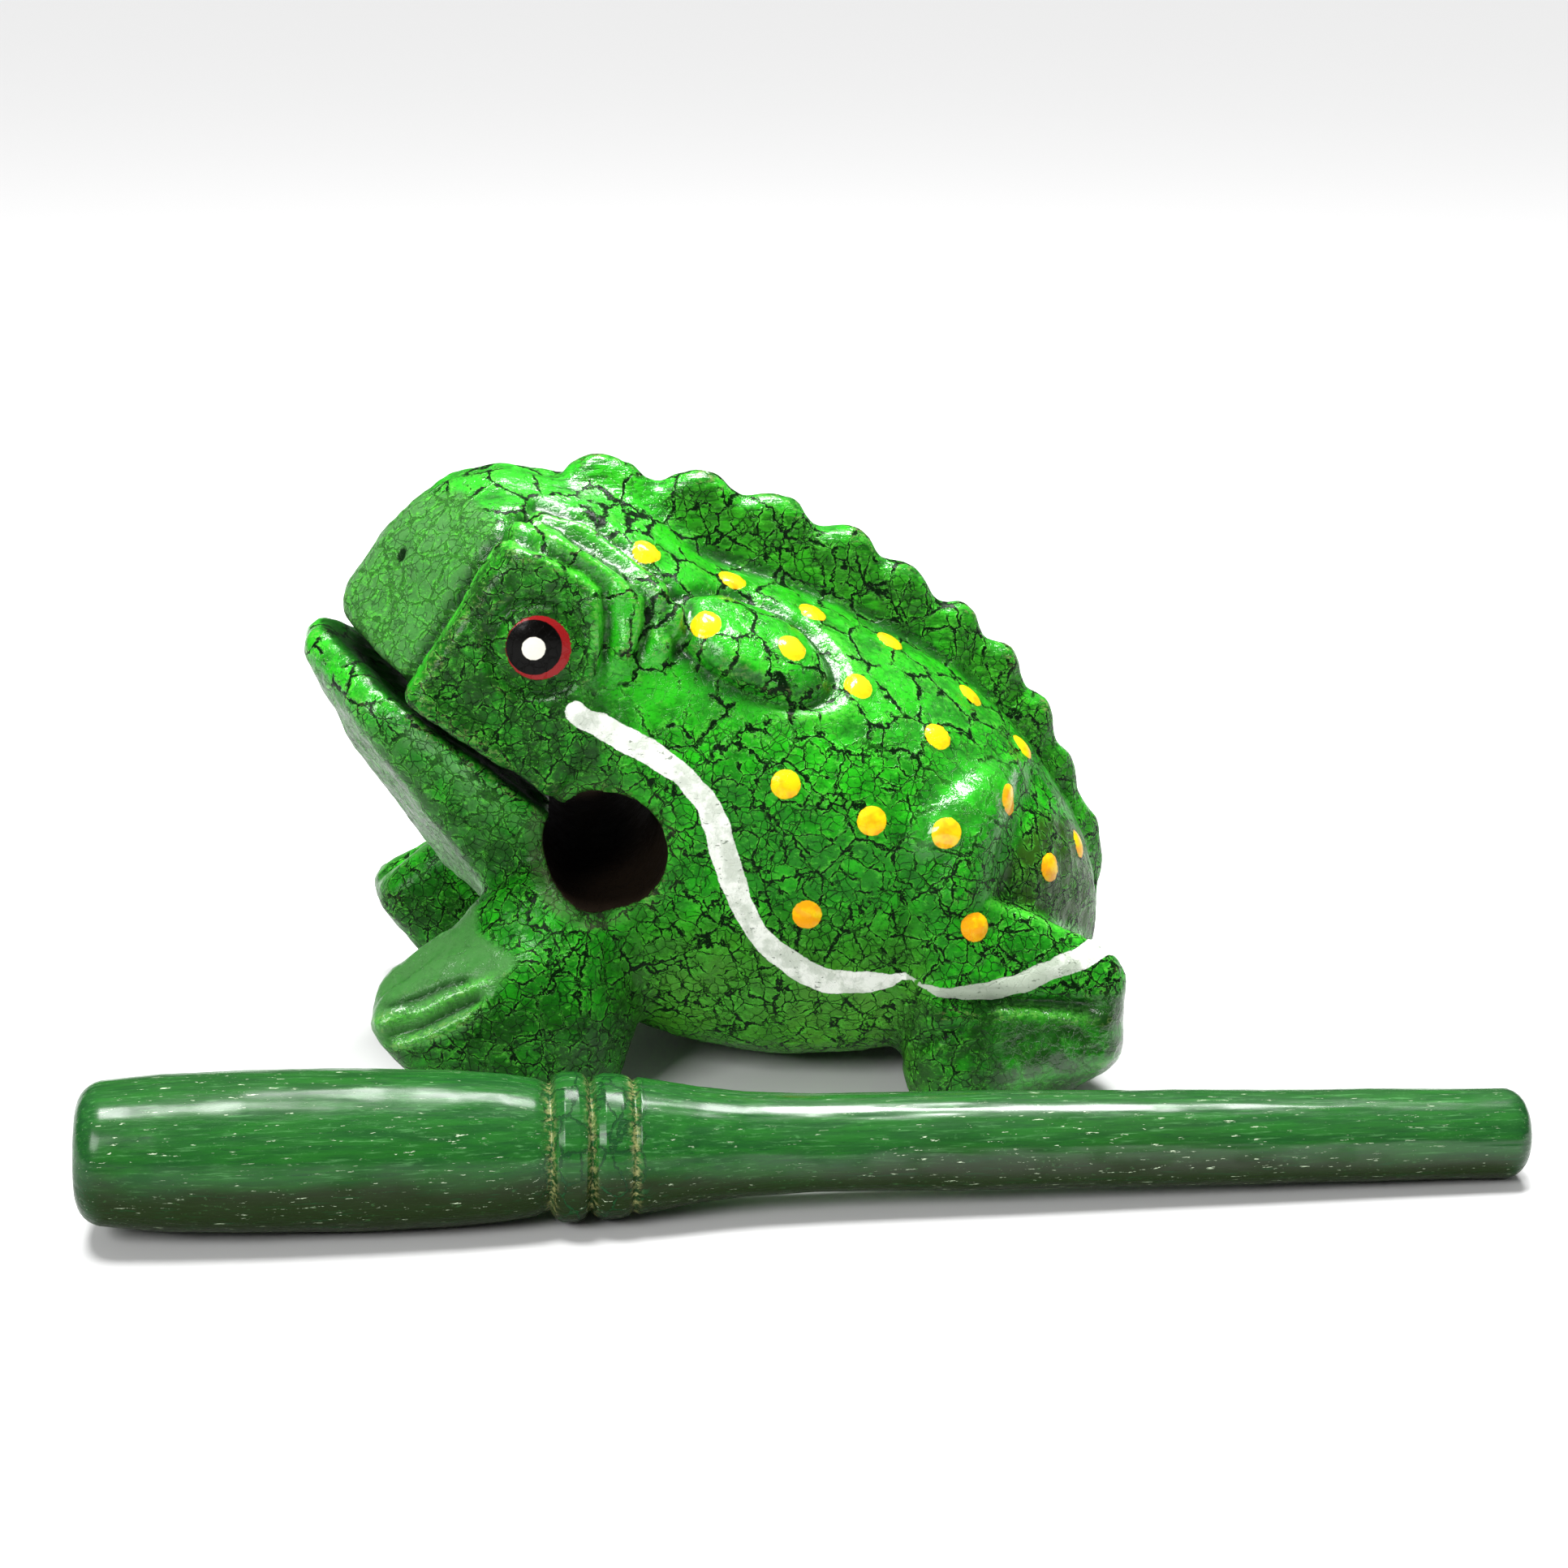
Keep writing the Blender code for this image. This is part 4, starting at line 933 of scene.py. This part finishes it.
stick_mesh = bpy.data.meshes.new("turned_stick")
stick_points, stick_faces = turned_skin(*turned_outline(), 112)
stick_mesh.from_pydata(stick_points, [], stick_faces)
stick_mesh.update()
along_stick = (stick_points[:, 0] * 1000 - STICK_PLACE[0]) / math.cos(STICK_TILT)
beads = ramp(along_stick, BEADS[0] - 1.5, BEADS[0]) * ramp(-along_stick, -BEADS[1] - 1.5, -BEADS[1])
axis_height = STICK_PLACE[2] - along_stick * math.sin(STICK_TILT)
under = ramp(axis_height - stick_points[:, 2] * 1000, -2.5, 3.5)
middle = STICK_LENGTH / 2
for name, values in (
    ("bead", beads),
    ("groove", sum(bell(along_stick - at, 0.45) for at in BEAD_GROOVES)),
    ("end", ramp(np.abs(along_stick - middle), middle - 3.4, middle - 0.8)),
    ("under", under),
    ("rubbed", (0.45 + 0.55 * ramp(along_stick, 62, 84)) * (1 - 0.9 * under)),
):
    add_values(stick_mesh, name, values)
stick_mesh.shade_smooth()
stick = placed("turned_stick", stick_mesh)

STAIN = (0.013, 0.105, 0.013, 1)
STAIN_DEEP = (0.007, 0.050, 0.012, 1)
STAIN_PALE = (0.085, 0.260, 0.085, 1)
UNDERSIDE_SHADE = (0.010, 0.017, 0.003, 1)
SCRATCH = (0.50, 0.62, 0.42, 1)
GROOVE_PAINT = (0.34, 0.33, 0.13, 1)

stain = bpy.data.materials.new("stained_wood")
stain.use_nodes = True
tree = stain.node_tree
place = in_millimetres(tree)
on_bead = value_of(tree, "bead")
fibre = cloud(tree, stretched(tree, place, (0.07, 1.0, 1.0)), 0.36, 4.0, 0.7).outputs["Fac"]
streak = cloud(tree, stretched(tree, place, (0.09, 1.0, 1.0)), 0.9, 3.0, 0.6).outputs["Fac"]
patch = cloud(tree, stretched(tree, place, (0.4, 1.0, 1.0)), 8.0, 3.0).outputs["Fac"]
mote = cloud(tree, stretched(tree, place, (0.5, 1.0, 1.0)), 0.55, 4.0, 0.7).outputs["Fac"]
nick = cloud(tree, stretched(tree, place, (0.16, 1.0, 1.0)), 0.34, 3.0, 0.75).outputs["Fac"]
dent = cloud(tree, stretched(tree, place, (0.6, 1.0, 1.0)), 3.5, 3.0).outputs["Fac"]
colour = tint(tree, rise(tree, streak, 0.30, 0.70, 0.25, 1.0), STAIN_DEEP, STAIN)
underneath = calc(tree, "ADD", value_of(tree, "under"), rise(tree, patch, 0.35, 0.65, -0.2, 0.2))
colour = tint(tree, rise(tree, fibre, 0.54, 0.72, 0.0, 0.55), colour, STAIN_PALE)
# painted shade: the stick's underside is coloured dark olive
colour = tint(tree, rise(tree, underneath, 0.0, 0.9, 0.0, 0.93), colour, UNDERSIDE_SHADE)
colour = tint(tree, rise(tree, fibre, 0.44, 0.30, 0.0, 0.75), colour, STAIN_DEEP)
colour = tint(tree, rise(tree, mote, 0.60, 0.74, 0.0, 0.35), colour, STAIN_PALE)
scratched = times(tree, rise(tree, nick, 0.645, 0.69), rise(tree, patch, 0.35, 0.6, 0.3, 1.0))
colour = tint(tree, scratched, colour, SCRATCH)
bead_drift = cloud(tree, place, 1.6, 3.0, 0.7).outputs["Color"]
bead_place = wandering(tree, stretched(tree, place, (1.0, 1.0, 0.7)), bead_drift, 1.2)
bead_cracks = crackle(tree, bead_place, 2.6, 0.15, rise(tree, mote, 0.35, 0.5))
bead_crack = times(tree, bead_cracks["Crack"], on_bead)
colour = tint(tree, bead_crack, colour, STAIN_DEEP)
in_groove = times(tree, value_of(tree, "groove"), rise(tree, mote, 0.45, 0.62))
colour = tint(tree, rise(tree, value_of(tree, "groove"), 0.5, 1.0, 0.0, 0.5), colour, STAIN_DEEP)
colour = tint(tree, times(tree, in_groove, 0.75), colour, GROOVE_PAINT)
at_end = value_of(tree, "end")
colour = tint(tree, times(tree, at_end, rise(tree, mote, 0.40, 0.60, 0.85, 0.3)), colour, STAIN_DEEP)
height = times(tree, fibre, 0.04)
height = plus(tree, height, streak, 0.05)
height = plus(tree, height, dent, 0.32)
height = plus(tree, height, mote, 0.05)
height = plus(tree, height, scratched, -0.04)
height = plus(tree, height, bead_crack, -0.12)
bump = add_node(tree, "Bump", {"Strength": 1.0, "Distance": 0.001, "Height": height})
gloss = rise(tree, streak, 0.35, 0.65, 0.34, 0.22)
shader = tree.nodes["Principled BSDF"]
shader.inputs["Specular IOR Level"].default_value = 0.04
shader.inputs["Coat Roughness"].default_value = 0.20
rubbed = times(tree, value_of(tree, "rubbed"), rise(tree, dent, 0.30, 0.55, 0.45, 1.0))
tree.links.new(rubbed, shader.inputs["Coat Weight"])
tree.links.new(colour, shader.inputs["Base Color"])
tree.links.new(gloss, shader.inputs["Roughness"])
tree.links.new(bump.outputs[0], shader.inputs["Normal"])
stick_mesh.materials.append(stain)
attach(stick, "root")
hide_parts("scraper_stick")

# The table: a plain pale floor. An even light comes from above, with a small soft box
# over and behind the frog for the broad highlights, and a wide one at the front left.
floor_mesh = bpy.data.meshes.new("table_top")
reach = 6.0
floor_mesh.from_pydata(
    [(-reach, -reach, 0), (reach, -reach, 0), (reach, reach, 0), (-reach, reach, 0)],
    [],
    [(0, 1, 2, 3)],
)
table = placed("table_top", floor_mesh)
paper = bpy.data.materials.new("pale_paper")
paper.use_nodes = True
paper_shader = paper.node_tree.nodes["Principled BSDF"]
paper_shader.inputs["Base Color"].default_value = (0.72, 0.72, 0.72, 1)
paper_shader.inputs["Roughness"].default_value = 0.8
floor_mesh.materials.append(paper)

world = bpy.data.worlds.new("studio")
bpy.context.scene.world = world
world.use_nodes = True
sky = world.node_tree
upward = add_node(sky, "SeparateXYZ", {0: add_node(sky, "TexCoord").outputs["Generated"]}).outputs[2]
glow = rise(sky, upward, 0.0, 0.9, 0.05, 0.35)
sky.links.new(glow, sky.nodes["Background"].inputs["Strength"])
sky.nodes["Background"].inputs["Color"].default_value = (1, 1, 1, 1)


def soft_box(name, place, aim, size, power):
    """A rectangular light at place that faces aim, both in metres."""
    light = bpy.data.lights.new(name, "AREA")
    light.shape = "RECTANGLE"
    light.size, light.size_y = size
    light.energy = power
    lamp = placed(name, light)
    lamp.location = place
    back = np.array(place) - np.array(aim)
    back = back / np.linalg.norm(back)
    lamp.rotation_euler = (math.acos(back[2]), 0, math.atan2(back[0], -back[1]))


soft_box("top_box", (0.08, 0.10, 0.60), (0.02, 0, 0.03), (0.30, 0.14), 5.2)
soft_box("front_fill", (-0.5, -0.6, 0.5), (0, 0, 0.03), (0.35, 0.35), 5.4)
even_light = bpy.data.lights.new("even_light", "SUN")
even_light.energy = 3.0
even_light.angle = math.radians(16)
lamp = placed("even_light", even_light)
lamp.rotation_euler = (math.radians(3), math.radians(-9), 0)

AZIMUTH, ELEVATION, DISTANCE = math.radians(-6), math.radians(16.7), 0.420
AIM = np.array([0.0023, 0.016465, 0.0320])
back = np.array(
    [
        math.sin(AZIMUTH) * math.cos(ELEVATION),
        -math.cos(AZIMUTH) * math.cos(ELEVATION),
        math.sin(ELEVATION),
    ]
)
camera_data = bpy.data.cameras.new("camera")
camera_data.lens = 77.48
camera_data.sensor_width = 36.0
camera_data.clip_end = 50
camera = placed("camera", camera_data)
camera.location = AIM + back * DISTANCE
camera.rotation_euler = (math.pi / 2 - ELEVATION, 0, AZIMUTH)
bpy.context.scene.camera = camera
bpy.context.scene.view_settings.view_transform = "Standard"
